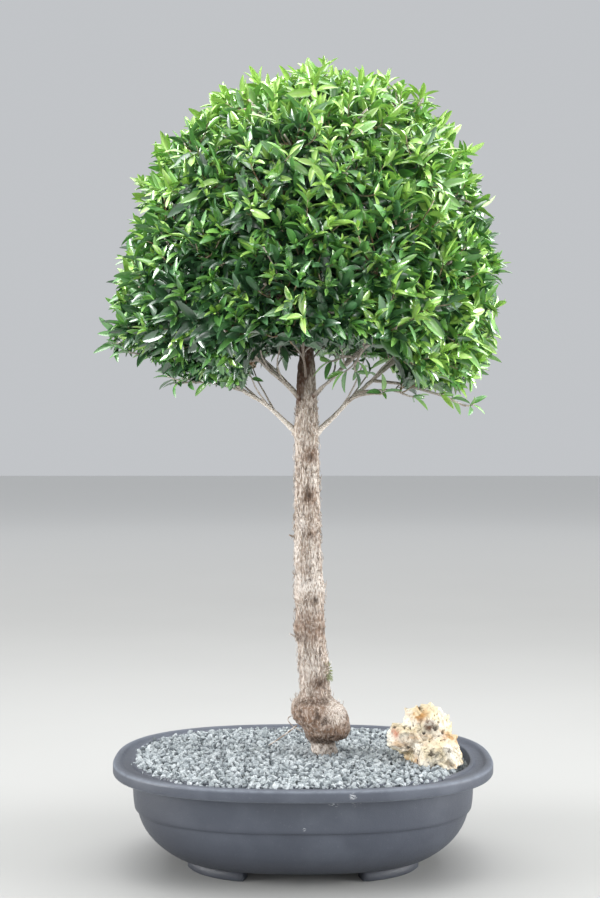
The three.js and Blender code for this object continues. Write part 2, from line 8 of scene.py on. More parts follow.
# %% Load the frame
import math
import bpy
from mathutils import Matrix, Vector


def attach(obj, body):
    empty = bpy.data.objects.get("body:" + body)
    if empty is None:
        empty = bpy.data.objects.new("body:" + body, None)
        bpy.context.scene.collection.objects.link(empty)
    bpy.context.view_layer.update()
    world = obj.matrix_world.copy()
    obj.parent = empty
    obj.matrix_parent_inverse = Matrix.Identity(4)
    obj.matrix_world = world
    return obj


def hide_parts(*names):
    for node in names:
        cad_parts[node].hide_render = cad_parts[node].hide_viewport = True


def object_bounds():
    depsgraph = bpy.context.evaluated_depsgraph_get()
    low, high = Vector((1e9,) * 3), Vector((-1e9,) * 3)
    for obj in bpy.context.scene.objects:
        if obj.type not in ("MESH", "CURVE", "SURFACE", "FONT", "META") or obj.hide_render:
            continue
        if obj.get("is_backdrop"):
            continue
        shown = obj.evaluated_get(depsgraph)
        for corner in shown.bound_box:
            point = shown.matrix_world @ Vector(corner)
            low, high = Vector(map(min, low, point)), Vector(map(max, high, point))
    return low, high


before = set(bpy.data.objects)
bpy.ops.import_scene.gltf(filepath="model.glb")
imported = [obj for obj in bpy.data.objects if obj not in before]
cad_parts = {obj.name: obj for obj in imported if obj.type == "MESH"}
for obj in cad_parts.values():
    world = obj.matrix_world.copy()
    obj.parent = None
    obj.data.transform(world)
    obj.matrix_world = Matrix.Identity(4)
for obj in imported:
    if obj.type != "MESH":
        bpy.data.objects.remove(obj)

from types import SimpleNamespace as Sizes

import bpy
import numpy as np

MM = 0.001  # a millimetre in Blender's metres; all sizes below are millimetres
cad_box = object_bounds()
print("CAD nodes in the frame:", len(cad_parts))

# %% [markdown]
# ## Camera
# The picture was taken from a little over a metre away, level with the upper trunk. A camera can be placed
# by eye, but here its place was worked out from the oval of the rim and the height of the horizon. The
# focal length is given in pixels, because that is what a picture can be measured in, and is turned into
# Blender's lens here.

# %% Camera
PHOTO = Sizes(height=898, focal=1403, horizon=420)  # pixels
EYE = (-2.8, -1305, 410)
SENSOR_HEIGHT = 24

lens = bpy.data.cameras.new("camera")
lens.sensor_fit = "VERTICAL"
lens.sensor_height = SENSOR_HEIGHT
lens.lens = SENSOR_HEIGHT * PHOTO.focal / PHOTO.height
look_down = math.atan((PHOTO.height / 2 - PHOTO.horizon) / PHOTO.focal)
camera = bpy.data.objects.new("camera", lens)
camera.location = np.multiply(EYE, MM)
camera.rotation_euler = (math.pi / 2 - look_down, 0, 0)
bpy.context.scene.collection.objects.link(camera)
bpy.context.scene.camera = camera
print("camera looks down by", round(math.degrees(look_down), 2), "degrees")

# %% [markdown]
# ## From arrays to pieces
# Every piece is worked out as arrays of points in numpy and handed to Blender whole. That is much faster
# than adding one vertex at a time, and the formula stays in sight. Most shapes are a skin over rings of
# points, so one function closes such skins, and it takes many of them at once.

# %% Skins and pieces
def closed_skins(rings):
    """Points and faces of closed skins, from an array of skins x rings x sides x 3. Rings are joined
    by four-sided faces, and a fan from the middle of the first and of the last ring closes the ends."""
    count, length, sides = rings.shape[:3]
    ends = rings[:, [0, -1]].mean(axis=2)
    points = np.concatenate([rings.reshape(count, -1, 3), ends], axis=1)
    ring, side = np.meshgrid(np.arange(length - 1) * sides, np.arange(sides), indexing="ij")
    ahead = (side + 1) % sides
    quads = np.stack([ring + side, ring + ahead, ring + sides + ahead, ring + sides + side], axis=-1)
    here = np.arange(sides)
    there = (here + 1) % sides
    first = length * sides
    last_ring = first - sides
    start_fan = np.stack([np.full(sides, first), there, here], axis=-1)
    end_fan = np.stack([np.full(sides, first + 1), last_ring + here, last_ring + there], axis=-1)
    fans = np.concatenate([start_fan, end_fan])
    faces = [repeated(group, count, first + 2) for group in (quads.reshape(-1, 4), fans)]
    return points.reshape(-1, 3), faces


def repeated(faces, count, step):
    """The faces of one shape, repeated for a row of shapes whose point numbers run on by a step."""
    return (faces[None] + step * np.arange(count)[:, None, None]).reshape(-1, faces.shape[1])


def new_piece(name, points, faces, finish, slot, smooth=True, **attributes):
    """A mesh object from points in millimetres and a list of face arrays. It rides on the one body, takes a
    finish, and carries any attributes, one number for each point. Its slot is not used."""
    mesh = bpy.data.meshes.new(name)
    mesh.vertices.add(len(points))
    mesh.vertices.foreach_set("co", (points * MM).astype(np.float32).ravel())
    corners = np.concatenate([group.ravel() for group in faces])
    sizes = np.concatenate([np.full(len(group), group.shape[1]) for group in faces])
    mesh.loops.add(len(corners))
    mesh.loops.foreach_set("vertex_index", corners.astype(np.int32))
    mesh.polygons.add(len(sizes))
    mesh.polygons.foreach_set("loop_start", (np.cumsum(sizes) - sizes).astype(np.int32))
    mesh.polygons.foreach_set("use_smooth", np.full(len(sizes), smooth))
    for label, values in attributes.items():
        attribute = mesh.attributes.new(label, "FLOAT", "POINT")
        attribute.data.foreach_set("value", values.astype(np.float32).ravel())
    mesh.update(calc_edges=True)
    mesh.materials.append(finish)
    piece = bpy.data.objects.new(name, mesh)
    bpy.context.scene.collection.objects.link(piece)
    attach(piece, "root")
    print(name, "has", int((sizes - 2).sum()), "triangles")
    return piece


_, faces = closed_skins(np.zeros((1, 2, 4, 3)))
print("a skin over two rings of 4 points has", sum(len(group) for group in faces), "faces")

# %% [markdown]
# ## Noise and even spreads
# Bark, rock and clipped leaves are uneven, and the same every time the script runs. Two kinds of unevenness
# are enough. A lattice noise gives smooth lumps of any size, and layers of it give roughness. A spread
# gives each leaf or twig its own number: multiples of an irrational step never bunch up, as numbers from
# dice do.

# %% Noise and spreads
SPREADS = (0.7548776662, 0.5698402910, 0.4301597090)
GOLDEN_TURN = math.pi * (3 - math.sqrt(5))
HASH_FACTORS = np.array([374761393, 668265263, 2246822519], np.uint32)
HASH_STIR = np.uint32(1274126177)
# A seed for each noise, so that no two are alike
SEEDS = Sizes(soil=3, fissure=5, fibre=11, flake=23, stone=31, crust=37, lump=39, pit=47, crevice=53,
              boughs=61, bough_bark=71, twigs=83, shoots=87, crown=91, ages=95, leaves=97)
TINY = 1e-6  # stands in for 0 where a division or a direction needs more than 0


def vary(index, channel):
    """A value from -1 to 1 for each index: the fraction of (index + 1) times the channel's step."""
    turns = (np.asarray(index) + 1) * SPREADS[channel]
    return 2 * (turns - np.floor(turns)) - 1


def blend(start, end, share):
    """start + (end - start) share."""
    return start + (end - start) * share


def ease(value, low, high):
    """0 below low, 1 above high, and the smooth rise 3t^2 - 2t^3 between."""
    share = np.clip((value - low) / (high - low), 0, 1)
    return share * share * (3 - 2 * share)


def corner_values(cells, seed):
    """A fixed value from -1 to 1 for each corner of a lattice: its three whole numbers are multiplied by
    large odd factors, added, and stirred by a shift and another factor."""
    mixed = (cells.astype(np.uint32) * HASH_FACTORS).sum(axis=-1, dtype=np.uint32) + np.uint32(seed)
    mixed = (mixed ^ (mixed >> np.uint32(13))) * HASH_STIR
    return (mixed ^ (mixed >> np.uint32(16))) / 2.0**31 - 1


def noise(points, size, seed):
    """Smooth lumps from -1 to 1. Points are divided by the lumps' size, one number or three, and each
    blends the values of the 8 lattice corners round it with eased weights."""
    scaled = points / np.asarray(size, float)
    cells = np.floor(scaled).astype(np.int64)
    weight = ease(scaled - cells, 0, 1)
    total = np.zeros(scaled.shape[:-1])
    for corner in np.ndindex(2, 2, 2):
        share = np.where(corner, weight, 1 - weight).prod(axis=-1)
        total += share * corner_values(cells + np.array(corner), seed)
    return total


def layered_noise(points, size, layers, seed):
    """Noise on noise: each layer has lumps of half the size and half the height of the one before."""
    size = np.asarray(size)
    return sum(0.5**layer * noise(points, size / 2**layer, seed + layer) for layer in range(layers))


print("spread of the first three:", vary(np.arange(3), 0).round(3))

# %% [markdown]
# ## Shader maths
# Blender's materials are nodes joined by wires. Wires are hard to read in a script, so one small class
# stands for a wire: plus, minus and times on it add Math nodes, and one method adds any other node. Colours
# go through Mix nodes. Each finish below is then a few lines that read like a formula.

# %% Shader wires
FULL_WITHIN = 0.3  # share of a spot's size within which it has its full strength


class Wire:
    """An output socket of a material's nodes. Operators on it add Math nodes, and node() any other."""

    def __init__(self, tree, socket=None):
        self.tree = tree
        self.socket = socket

    def node(self, kind, settings, sockets, output=0):
        """Adds a node of a kind, sets its settings first, and then sets or links its sockets."""
        made = self.tree.nodes.new("ShaderNode" + kind)
        for name, value in settings.items():
            setattr(made, name, value)
        for name, value in sockets.items():
            self.feed(made.inputs[name], value)
        return Wire(self.tree, made.outputs[output])

    def feed(self, socket, value):
        """Links a wire to a socket, or sets a plain value on it."""
        if isinstance(value, Wire):
            self.tree.links.new(value.socket, socket)
        else:
            socket.default_value = value

    def maths(self, operation, first, second):
        """A Math node that works on two wires or values."""
        return self.node("Math", {"operation": operation}, {0: first, 1: second})

    def __add__(self, other):
        return self.maths("ADD", self, other)

    def __rsub__(self, other):
        return self.maths("SUBTRACT", other, self)

    def __mul__(self, other):
        return self.maths("MULTIPLY", self, other)

    __radd__ = __add__
    __rmul__ = __mul__

    def between(self, low, high):
        """0 below low, 1 above high and a smooth rise between."""
        sockets = {"Value": self, "From Min": low, "From Max": high}
        return self.node("MapRange", {"interpolation_type": "SMOOTHSTEP"}, sockets)

    def tint(self, first, second):
        """A colour that goes from the first to the second as this value goes from 0 to 1."""
        return self.node("Mix", {"data_type": "RGBA"}, {0: self, 6: first, 7: second}, output=2)

    def grain(self, scale, detail=3):
        """Noise at this place, with a number of lumps for each metre."""
        return self.node("TexNoise", {}, {"Vector": self, "Scale": scale, "Detail": detail})

    def stretched(self, along):
        """This place with each axis multiplied, so that patterns are drawn out along an axis below 1."""
        return self.node("VectorMath", {"operation": "MULTIPLY"}, {0: self, 1: along})

    def near(self, spot, size):
        """1 close to a spot in millimetres, and a smooth fall to 0 at a distance of its size."""
        spot = tuple(part * MM for part in spot)
        away = self.node("VectorMath", {"operation": "DISTANCE"}, {0: self, 1: spot}, output="Value")
        return 1 - away.between(FULL_WITHIN * size * MM, size * MM)

    def read(self, name):
        """One of the numbers that every point of the mesh carries."""
        return self.node("Attribute", {"attribute_name": name}, {}, output="Fac")

    def bump(self, depth):
        """A normal that tilts as if this value were a relief of a depth in metres."""
        return self.node("Bump", {}, {"Height": self, "Distance": depth})


def colour(code):
    """A colour code as three linear numbers and an opaque fourth: ((v + 0.055) / 1.055) ^ 2.4."""
    parts = np.array([code >> 16, code >> 8 & 255, code & 255]) / 255
    linear = np.where(parts > 0.04045, ((parts + 0.055) / 1.055) ** 2.4, parts / 12.92)
    return (*linear, 1.0)


def new_finish(name, roughness):
    """A material, its shader's sockets, and a wire that carries the place in object coordinates."""
    material = bpy.data.materials.new(name)
    material.use_nodes = True
    shader = material.node_tree.nodes["Principled BSDF"]
    shader.inputs["Roughness"].default_value = roughness
    place = Wire(material.node_tree).node("TexCoord", {}, {}, output="Object")
    return material, shader.inputs, place


print("mid grey as a linear colour:", np.round(colour(0x808080), 3))

# %% [markdown]
# ## The pot
# The pot is one moulding of dark blue-grey plastic: a bowl with a belt line round it, a rim whose flat
# ledge lies between a raised outer bead and a low inner lip, and four corner feet. A lathe can't make it,
# because it isn't round. A profile is carried round an oval instead: each ring of the profile is a
# superellipse with its own half length and half depth.

# %% Outline and profile of the pot
POT = Sizes(half_length=175.5, half_depth=131.5, height=98, foot_height=9, wall=3, power=2.5, sides=256)
RIM = Sizes(band=11, overhang=18, bead=5.5, ledge=2.4, lip=1.9, lip_width=3.8, lower_round=2.5, upper_round=3)
BASE = Sizes(half_length=116, half_depth=81, fullness=3.6, round=5)
BELT = Sizes(height=56, step=2.2, lip=1.8)
ROUND_POINTS = 6  # points along a rounded edge
WALL_POINTS = Sizes(lower=18, belt=5, upper=12, inside=5)


def oval(half_length, half_depth, turn):
    """A superellipse: (cos t, sin t) over (|cos t|^p + |sin t|^p)^(1/p), stretched to two half sizes."""
    along, across = np.cos(turn), np.sin(turn)
    reach = (np.abs(along) ** POT.power + np.abs(across) ** POT.power) ** (-1 / POT.power)
    return half_length * along * reach, half_depth * across * reach


def oval_rings(half_length, half_depth, z, sides=POT.sides):
    """One oval ring of points for each row of half lengths, half depths and heights."""
    turn = 2 * math.pi * np.arange(sides) / sides
    x, y = oval(half_length[:, None], half_depth[:, None], turn)
    return np.stack([x, y, np.broadcast_to(z[:, None], x.shape)], axis=-1)


def wall_profile(z, inset):
    """Half length, half depth and height of the bowl, which swells by 1 - (1 - rise)^fullness."""
    rise = np.clip((z - POT.foot_height) / (POT.height - RIM.band - POT.foot_height), 0, 1)
    swell = 1 - (1 - rise) ** BASE.fullness
    half_length = blend(BASE.half_length, POT.half_length - RIM.overhang, swell)
    half_depth = blend(BASE.half_depth, POT.half_depth - RIM.overhang, swell)
    return np.stack([half_length - inset, half_depth - inset, z], axis=-1)


def rim_profile(inset, z):
    """Half length, half depth and height of rings that follow the rim's own outline."""
    inset, z = np.broadcast_arrays(np.asarray(inset, float), np.asarray(z, float))
    return np.stack([POT.half_length - inset, POT.half_depth - inset, z], axis=-1)


def pot_profile():
    """The section of the pot from under its base, up the outside, over the rim and down the inside."""
    quarter = np.linspace(0, math.pi / 2, ROUND_POINTS)
    under = POT.height - RIM.band
    base_round = wall_profile(
        POT.foot_height + BASE.round * (1 - np.cos(quarter)),
        BELT.step + BASE.round * (1 - np.sin(quarter)),
    )
    lower = np.linspace(POT.foot_height + BASE.round, BELT.height - BELT.lip, WALL_POINTS.lower)[1:]
    belt = np.linspace(0, 1, WALL_POINTS.belt)[1:]
    upper = np.linspace(BELT.height, under, WALL_POINTS.upper)[1:]
    lower_edge = rim_profile(
        RIM.lower_round * (1 - np.sin(quarter)), under + RIM.lower_round * (1 - np.cos(quarter))
    )
    upper_edge = rim_profile(
        RIM.upper_round * (1 - np.cos(quarter)), POT.height - RIM.upper_round * (1 - np.sin(quarter))
    )
    groove = rim_profile(
        RIM.bead + RIM.ledge * (1 + np.sin(quarter - math.pi / 4)),
        POT.height - RIM.ledge * ease(quarter, 0, math.pi / 2),
    )
    inner = RIM.overhang + POT.wall
    ledge = POT.height - RIM.ledge
    share = np.linspace(0, 1, ROUND_POINTS)
    lip = rim_profile(inner - RIM.lip_width - 1 + share, ledge + RIM.lip * ease(share, 0, 1))
    inner_edge = rim_profile(inner - 1 + np.sin(quarter), ledge + RIM.lip - 1 + np.cos(quarter))
    inside = wall_profile(np.linspace(under, BELT.height, WALL_POINTS.inside), BELT.step + POT.wall)
    return np.concatenate([
        base_round,
        wall_profile(lower, BELT.step),
        wall_profile(BELT.height - BELT.lip * (1 - belt), BELT.step * (1 - ease(belt, 0, 1))),
        wall_profile(upper, 0),
        lower_edge,
        upper_edge,
        groove,
        lip,
        inner_edge,
        inside,
    ])


profile = pot_profile()
print("the pot's section has", len(profile), "points")

# %% [markdown]
# The plastic is satin: dark and even at first sight, with a fine moulded grain, cloudy dust, pale wear
# along the rim, and a few white scuffs on the front. Painted shade darkens it towards the base and at the two
# ends. The grain is a bump. The wear, the scuffs and the painted shade change only the colour, and the dust
# dulls the shine as well.

# %% Plastic and pot
PLASTIC = Sizes(
    body=colour(0x484d58),
    # painted shade, towards the base and at the two ends
    damp=colour(0x2b2d32),
    dust=colour(0x6a707b),
    worn=colour(0x868d97),
    scuff=colour(0xc9ccd0),
)
WEAR = Sizes(top=0.8, top_drop=1.2, top_fade=1.1, foot=0.9, foot_fade=1.4)
# Scuffs on the front: place and size
SCUFFS = (
    (-15, -106, 29, 3.5),
    (22, -112, 39, 2.2),
    (1, -113, 60, 2.0),
    (24, -113, 50, 1.6),
    (42, -131, 93, 4.5),
    (26, -114, 83, 6),
    (46, -114, 83, 6),
)
# Painted shade that rises from the base: up to what height, and its strength
SHADE_FROM_BASE = Sizes(height=40, strength=0.6)
# Painted shade at the two ends: place, size and strength
SHADE_AT_ENDS = (
    ((-170, -60, 45), 130, 0.5),
    ((170, -60, 45), 110, 0.3),
)


def pot_plastic():
    """The body's colour, with dust mixed in by clouds and specks, painted shade by height and by places, wear
    by the rim's attribute, and white where streaks cross a scuff."""
    finish, sockets, place = new_finish("pot plastic", roughness=0.5)
    cloud = place.grain(24, 6).between(0.42, 0.72)
    speckle = place.grain(420, 4).between(0.62, 0.72)
    streaks = place.stretched((0.5, 0.5, 3)).grain(700, 2)
    scuffed = sum(place.near(spot, size) for *spot, size in SCUFFS) * streaks.between(0.56, 0.62)
    body = (cloud * 0.35 + speckle * 0.25).tint(PLASTIC.body, PLASTIC.dust)
    height = place.node("SeparateXYZ", {}, {"Vector": place}, output="Z")
    # painted shade: darker towards the base and at the two ends
    rising = 1 - height.between(0, SHADE_FROM_BASE.height * MM)
    body = (rising * SHADE_FROM_BASE.strength).tint(body, PLASTIC.damp)
    for spot, size, strength in SHADE_AT_ENDS:
        body = (place.near(spot, size) * strength).tint(body, PLASTIC.damp)
    uneven = 0.35 + place.grain(160, 5).between(0.3, 0.7) * 0.3
    body = (place.read("wear") * uneven).tint(body, PLASTIC.worn)
    place.feed(sockets["Base Color"], scuffed.tint(body, PLASTIC.scuff))
    place.feed(sockets["Roughness"], 0.46 + cloud * 0.16)
    place.feed(sockets["Normal"], (place.grain(1500, 2) + place.grain(90, 3) * 2).bump(depth=0.0002))
    return finish


def edge_wear(z, inset_from_rim):
    """Wear from 0 to 1 on the rim's two outer edges: strength exp(-(distance / fade)^2)."""
    on_rim = inset_from_rim < RIM.bead
    top = np.exp(-(((z - POT.height + WEAR.top_drop) / WEAR.top_fade) ** 2))
    foot = np.exp(-(((z - POT.height + RIM.band) / WEAR.foot_fade) ** 2))
    return on_rim * np.maximum(WEAR.top * top, WEAR.foot * foot)


plastic = pot_plastic()
rings = oval_rings(*profile.T)
points, faces = closed_skins(rings[None])
wear = np.repeat(edge_wear(profile[:, 2], POT.half_length - profile[:, 0]), POT.sides)
pot = new_piece("pot_bowl", points, faces, plastic, "pot", wear=np.append(wear, [0, 0]))
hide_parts("pot")

# %% [markdown]
# The feet are low curved blocks under the turns of the oval, so that the pot stands clear of the ground and
# drains. Each is a rounded section carried along a stretch of the base's outline, and its ends are drawn in
# a little, as on a part that has to come out of a mould.

# %% Feet of the pot
FOOT = Sizes(start=0.3, end=1.08, inset=7, width=18, height=11, round=1.2, round_points=4,
             draft=1.0, stations=18)


def foot_rings(start, end):
    """A rounded section of (inwards, z) points carried along the base's oval. The normal of the oval gives
    the way inwards, and the first and last stations are drawn in by the draft."""
    turn = np.linspace(start, end, FOOT.stations)
    step = 1e-3
    half_sizes = BASE.half_length - FOOT.inset, BASE.half_depth - FOOT.inset
    base = np.stack(oval(*half_sizes, turn), axis=-1)
    ahead = np.stack(oval(*half_sizes, turn + step), axis=-1)
    along = (ahead - base) / np.linalg.norm(ahead - base, axis=-1, keepdims=True)
    inwards = np.stack([-along[:, 1], along[:, 0]], axis=-1)
    quarter = np.linspace(0, math.pi / 2, FOOT.round_points)
    opening = FOOT.round * (1 - np.cos(quarter))
    closing = FOOT.round * (1 - np.sin(quarter))
    section_in = np.concatenate([opening, FOOT.width - closing, [FOOT.width, 0]])
    section_z = np.concatenate([closing, opening, [FOOT.height, FOOT.height]])
    drawn = np.zeros(FOOT.stations)
    drawn[[0, -1]] = FOOT.draft
    across = drawn[:, None] + section_in * (1 - 2 * drawn[:, None] / FOOT.width)
    flat = base[:, None] + inwards[:, None] * across[..., None]
    return np.concatenate([flat, np.broadcast_to(section_z[:, None], (*flat.shape[:2], 1))], axis=-1)


corners = [(FOOT.start, FOOT.end), (math.pi - FOOT.end, math.pi - FOOT.start)]
corners += [(start + math.pi, end + math.pi) for start, end in corners]
points, faces = closed_skins(np.stack([foot_rings(*corner) for corner in corners]))
feet = new_piece("pot_feet", points, faces, plastic, "pot", wear=np.zeros(len(points)))
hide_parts("pot")

# %% [markdown]
# ## Gravel
# The pot is filled with soil and topped with crushed blue-grey stone, in flat chips of 3 to 6 mm. A bump
# map would look flat at the rim, where single grains stand up, so each grain is a small faceted lump of 20
# triangles. They are laid out like the seeds of a sunflower, which fills an oval evenly, in two layers over
# a dark bed of soil. The bed sags at its right end behind the rock, and at the front grains have spilled
# over the rim's ledge.

# %% Soil
GRAVEL = Sizes(height=98, inset=20.5, soil_depth=2.2, sag=9, sag_start=122, sag_end=151, spill=1.075)
SOIL = Sizes(rings=9, innermost=0.04, sides=96, lump=0.6, lump_size=14)
# The soil's hidden underside: share of the oval, and depth under the soil's top
SOIL_UNDER = ((0.9, 6), (0.97, 3))
SOIL_TINTS = Sizes(dark=colour(0x2b2c2b), pale=colour(0x5d6262))


def sagged(x, z):
    """A height of the bed, which sags at its right end by an eased step."""
    return z - GRAVEL.sag * ease(x, GRAVEL.sag_start, GRAVEL.sag_end)


def soil_rings():
    """Ovals from a hidden underside out to the rim's ledge, and in again over the top to the middle."""
    under_share, under_depth = np.array(SOIL_UNDER).T
    share = np.concatenate([under_share, np.linspace(1, SOIL.innermost, SOIL.rings)])
    half_length = (POT.half_length - GRAVEL.inset) * share
    half_depth = (POT.half_depth - GRAVEL.inset) * share
    top = GRAVEL.height - GRAVEL.soil_depth
    z = np.concatenate([top - under_depth, np.full(SOIL.rings, top)])
    rings = oval_rings(half_length, half_depth, z, sides=SOIL.sides)
    upper = rings[len(SOIL_UNDER):]
    upper[..., 2] += SOIL.lump * noise(upper, SOIL.lump_size, SEEDS.soil)
    rings[..., 2] = sagged(rings[..., 0], rings[..., 2])
    return rings


def soil_finish():
    """Two dark greys mixed by one noise, which also gives the relief."""
    finish, sockets, place = new_finish("soil", roughness=0.95)
    lumps = place.grain(350, 4)
    place.feed(sockets["Base Color"], lumps.tint(SOIL_TINTS.dark, SOIL_TINTS.pale))
    place.feed(sockets["Normal"], lumps.bump(depth=0.0015))
    return finish


points, faces = closed_skins(soil_rings()[None])
soil = new_piece("gravel_soil", points, faces, soil_finish(), "gravel")
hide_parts("gravel_bed")

# %% Grains
# A grain's size and its spread, its three sides as shares of the size, and how uneven its corners are: chip
GRAIN = Sizes(size=2.65, spread=0.7, sides=(1, 0.8, 0.52), lower=3500, upper=3300, lift=1.6,
              jitter=1.3, jitter_up=0.45, chip=0.32, seed=21)
# Tints of the grains: piece, colour, and share of all grains
GRAIN_TINTS = (
    ("gravel_pale", 0xc0c5c7, 0.46),
    ("gravel_grey", 0xa5abae, 0.42),
    ("gravel_dark", 0x6f7579, 0.12),
)
GRAIN_MOTTLE = (0.7, 0.73, 0.74, 1)  # a grain's darker grey as shares of its own grey


def unit_grain():
    """An icosahedron: two rings of five points at heights of 1/sqrt(5), half a step apart, and two poles."""
    height = 1 / math.sqrt(5)
    turn = 2 * math.pi * (np.arange(5) + np.array([[0], [0.5]])) / 5
    rings = np.stack([2 * height * np.cos(turn), 2 * height * np.sin(turn), np.zeros((2, 5))], axis=-1)
    rings[:, :, 2] = [[-height], [height]]
    points, faces = closed_skins(rings[None])
    points[-2:, 2] = [-1, 1]
    return points, faces


def unit(vectors):
    """Vectors divided by their own length."""
    return vectors / np.linalg.norm(vectors, axis=-1, keepdims=True)


def turned(count, dice):
    """Evenly random rotations as matrices, from unit quaternions a + bi + cj + dk."""
    a, b, c, d = np.moveaxis(unit(dice.normal(size=(count, 4))), -1, 0)
    rows = [
        [1 - 2 * (c * c + d * d), 2 * (b * c - a * d), 2 * (b * d + a * c)],
        [2 * (b * c + a * d), 1 - 2 * (b * b + d * d), 2 * (c * d - a * b)],
        [2 * (b * d - a * c), 2 * (c * d + a * b), 1 - 2 * (b * b + c * c)],
    ]
    return np.moveaxis(np.array(rows), -1, 0)


def grain_places(count, z, dice):
    """Sunflower places in the oval of the gravel: radius sqrt(i / count), each one a golden turn on from
    the last. The front half is stretched, because grains have spilled over the rim's ledge there."""
    index = np.arange(count) + 0.5
    share = np.sqrt(index / count)
    half_length, half_depth = POT.half_length - GRAVEL.inset, POT.half_depth - GRAVEL.inset
    x, y = oval(half_length * share, half_depth * share, index * GOLDEN_TURN)
    places = np.stack([x, np.where(y < 0, y * GRAVEL.spill, y), sagged(x, z)], axis=-1)
    return places + GRAIN.jitter * dice.normal(size=places.shape) * [1, 1, GRAIN.jitter_up]


def grain_finish(name, code):
    """One grey, mottled with a darker one of the same hue."""
    finish, sockets, place = new_finish(name, roughness=0.9)
    mottle = place.grain(600, 5)
    pale = colour(code)
    dark = tuple(np.multiply(pale, GRAIN_MOTTLE))
    place.feed(sockets["Base Color"], mottle.between(0.3, 0.7).tint(dark, pale))
    place.feed(sockets["Normal"], place.grain(2500, 2).bump(depth=0.0003))
    return finish


def gravel_grains():
    """Points of all grains: the unit grain with its own chips, three sizes, turn and place for each."""
    dice = np.random.default_rng(GRAIN.seed)
    low = GRAVEL.height - GRAVEL.soil_depth
    places = np.concatenate([
        grain_places(GRAIN.lower, low, dice),
        grain_places(GRAIN.upper, low + GRAIN.lift, dice),
    ])
    shape, faces = unit_grain()
    count = len(places)
    chipped = shape * (1 + GRAIN.chip * dice.uniform(-1, 1, (count, len(shape), 1)))
    sizes = GRAIN.size * np.exp(GRAIN.spread * dice.uniform(-0.5, 0.5, (count, 1, 1))) * GRAIN.sides
    return places[:, None] + (chipped * sizes) @ turned(count, dice), faces, dice


grains, grain_faces, dice = gravel_grains()
tint_of = dice.choice(len(GRAIN_TINTS), len(grains), p=[share for _, _, share in GRAIN_TINTS])
for number, (name, code, _) in enumerate(GRAIN_TINTS):
    chosen = grains[tint_of == number]
    faces = [repeated(group, len(chosen), chosen.shape[1]) for group in grain_faces]
    finish = grain_finish(name, code)
    piece = new_piece(name, chosen.reshape(-1, 3), faces, finish, "gravel", smooth=False)
    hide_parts("gravel_bed")

# %% [markdown]
# ## The accent stone
# A rugged pale rock stands beside the trunk, three broken blocks grown together. Sculpting would make it,
# but not the same way twice in a script. Here a ray goes out in every direction from a point inside the
# blocks, and the rock begins where the ray leaves the last of them. Flat chips in two sizes tilt the faces,
# noise adds roughness, and pits, crevices and a few deep holes are cut into it.

# %% Shape of the stone
STONE_PLACE = np.array([112, -17, GRAVEL.height])
STONE_HEART = np.array([-4, -3, 14])  # where the rays start, from the stone's place
STONE_FOOT = GRAVEL.height - 1.5
STONE_GRID = Sizes(around=320, up=200)
STONE_CAP = 0.55  # share of a block's outline that its front and back faces keep
# Blocks, from the stone's place: middle and half of the depth, and the corners (x, z) of the outline
STONE_BLOCKS = (
    (0, 20, ((-17, -20), (26, -20), (25, 28), (21, 39), (5, 51), (-18, 45), (-20, 30))),
    (-4, 15, ((-22, 5), (6, 5), (6, 33), (-20, 34), (-31, 32), (-35, 22), (-33, 13))),
    (-12, 22, ((-14, -16), (31, -16), (34, 8), (27, 24), (10, 28), (-14, 20))),
)
# Chips: how many cover the rock, and how far each may tilt
CHIPS = ((60, 0.26), (420, 0.55))
# Deep holes in the front: x, z and size in the shared frame
STONE_HOLES = (
    (120.5, 131, 3.4),
    (128, 126.5, 2.6),
    (110, 126.5, 1.8),
    (120, 99, 2.2),
)
# Relief on the chips: heights and depths, and the sizes and ranges of the noises that give them
STONE_RELIEF = Sizes(
    rough=0.8,
    rough_size=5,
    pit=2,
    pit_size=2.8,
    pit_range=(0.56, 0.84),
    border=1.2,
    crevice=0.8,
    crevice_size=11,
    crevice_range=(0.2, 0.55),
    # how dark a crevice is painted, as shade
    crevice_dark=0.35,
    hole=3,
)


def block_exit(way, middle, half_depth, outline):
    """How far a ray from the heart runs inside a block. The block's outline is drawn in to the front and to
    the back, so every face is a plane n.x = depth. The ray leaves by the face with the least distance t,
    where t = (depth - n.heart) / n.way."""
    corners = np.insert(np.array(outline, float), 1, middle, axis=1)
    centre = corners.mean(axis=0)
    edges = np.roll(corners, -1, axis=0) - corners
    drawn_in = (centre - corners) * (1 - STONE_CAP)
    nearest_exit = np.full(way.shape[:-1], np.inf)
    for side in (-1, 1):
        normals = unit(np.cross(edges, drawn_in + [0, side * half_depth, 0]))
        normals *= np.sign((normals * (corners - centre)).sum(axis=-1, keepdims=True))
        depths = np.append((normals * corners).sum(axis=-1), half_depth + side * middle)
        normals = np.concatenate([normals, [[0, side, 0]]])
        facing = way @ normals.T
        ahead = (depths - normals @ STONE_HEART) / np.maximum(facing, TINY)
        exits = np.where(facing > TINY, ahead, np.inf)
        nearest_exit = np.minimum(nearest_exit, exits.min(axis=-1))
    return nearest_exit


def bare_stone(way):
    """The last exit from the blocks in each direction, and the point it lies at."""
    reach = np.max([block_exit(way, *block) for block in STONE_BLOCKS], axis=0)
    return reach, STONE_HEART + way * reach[..., None]


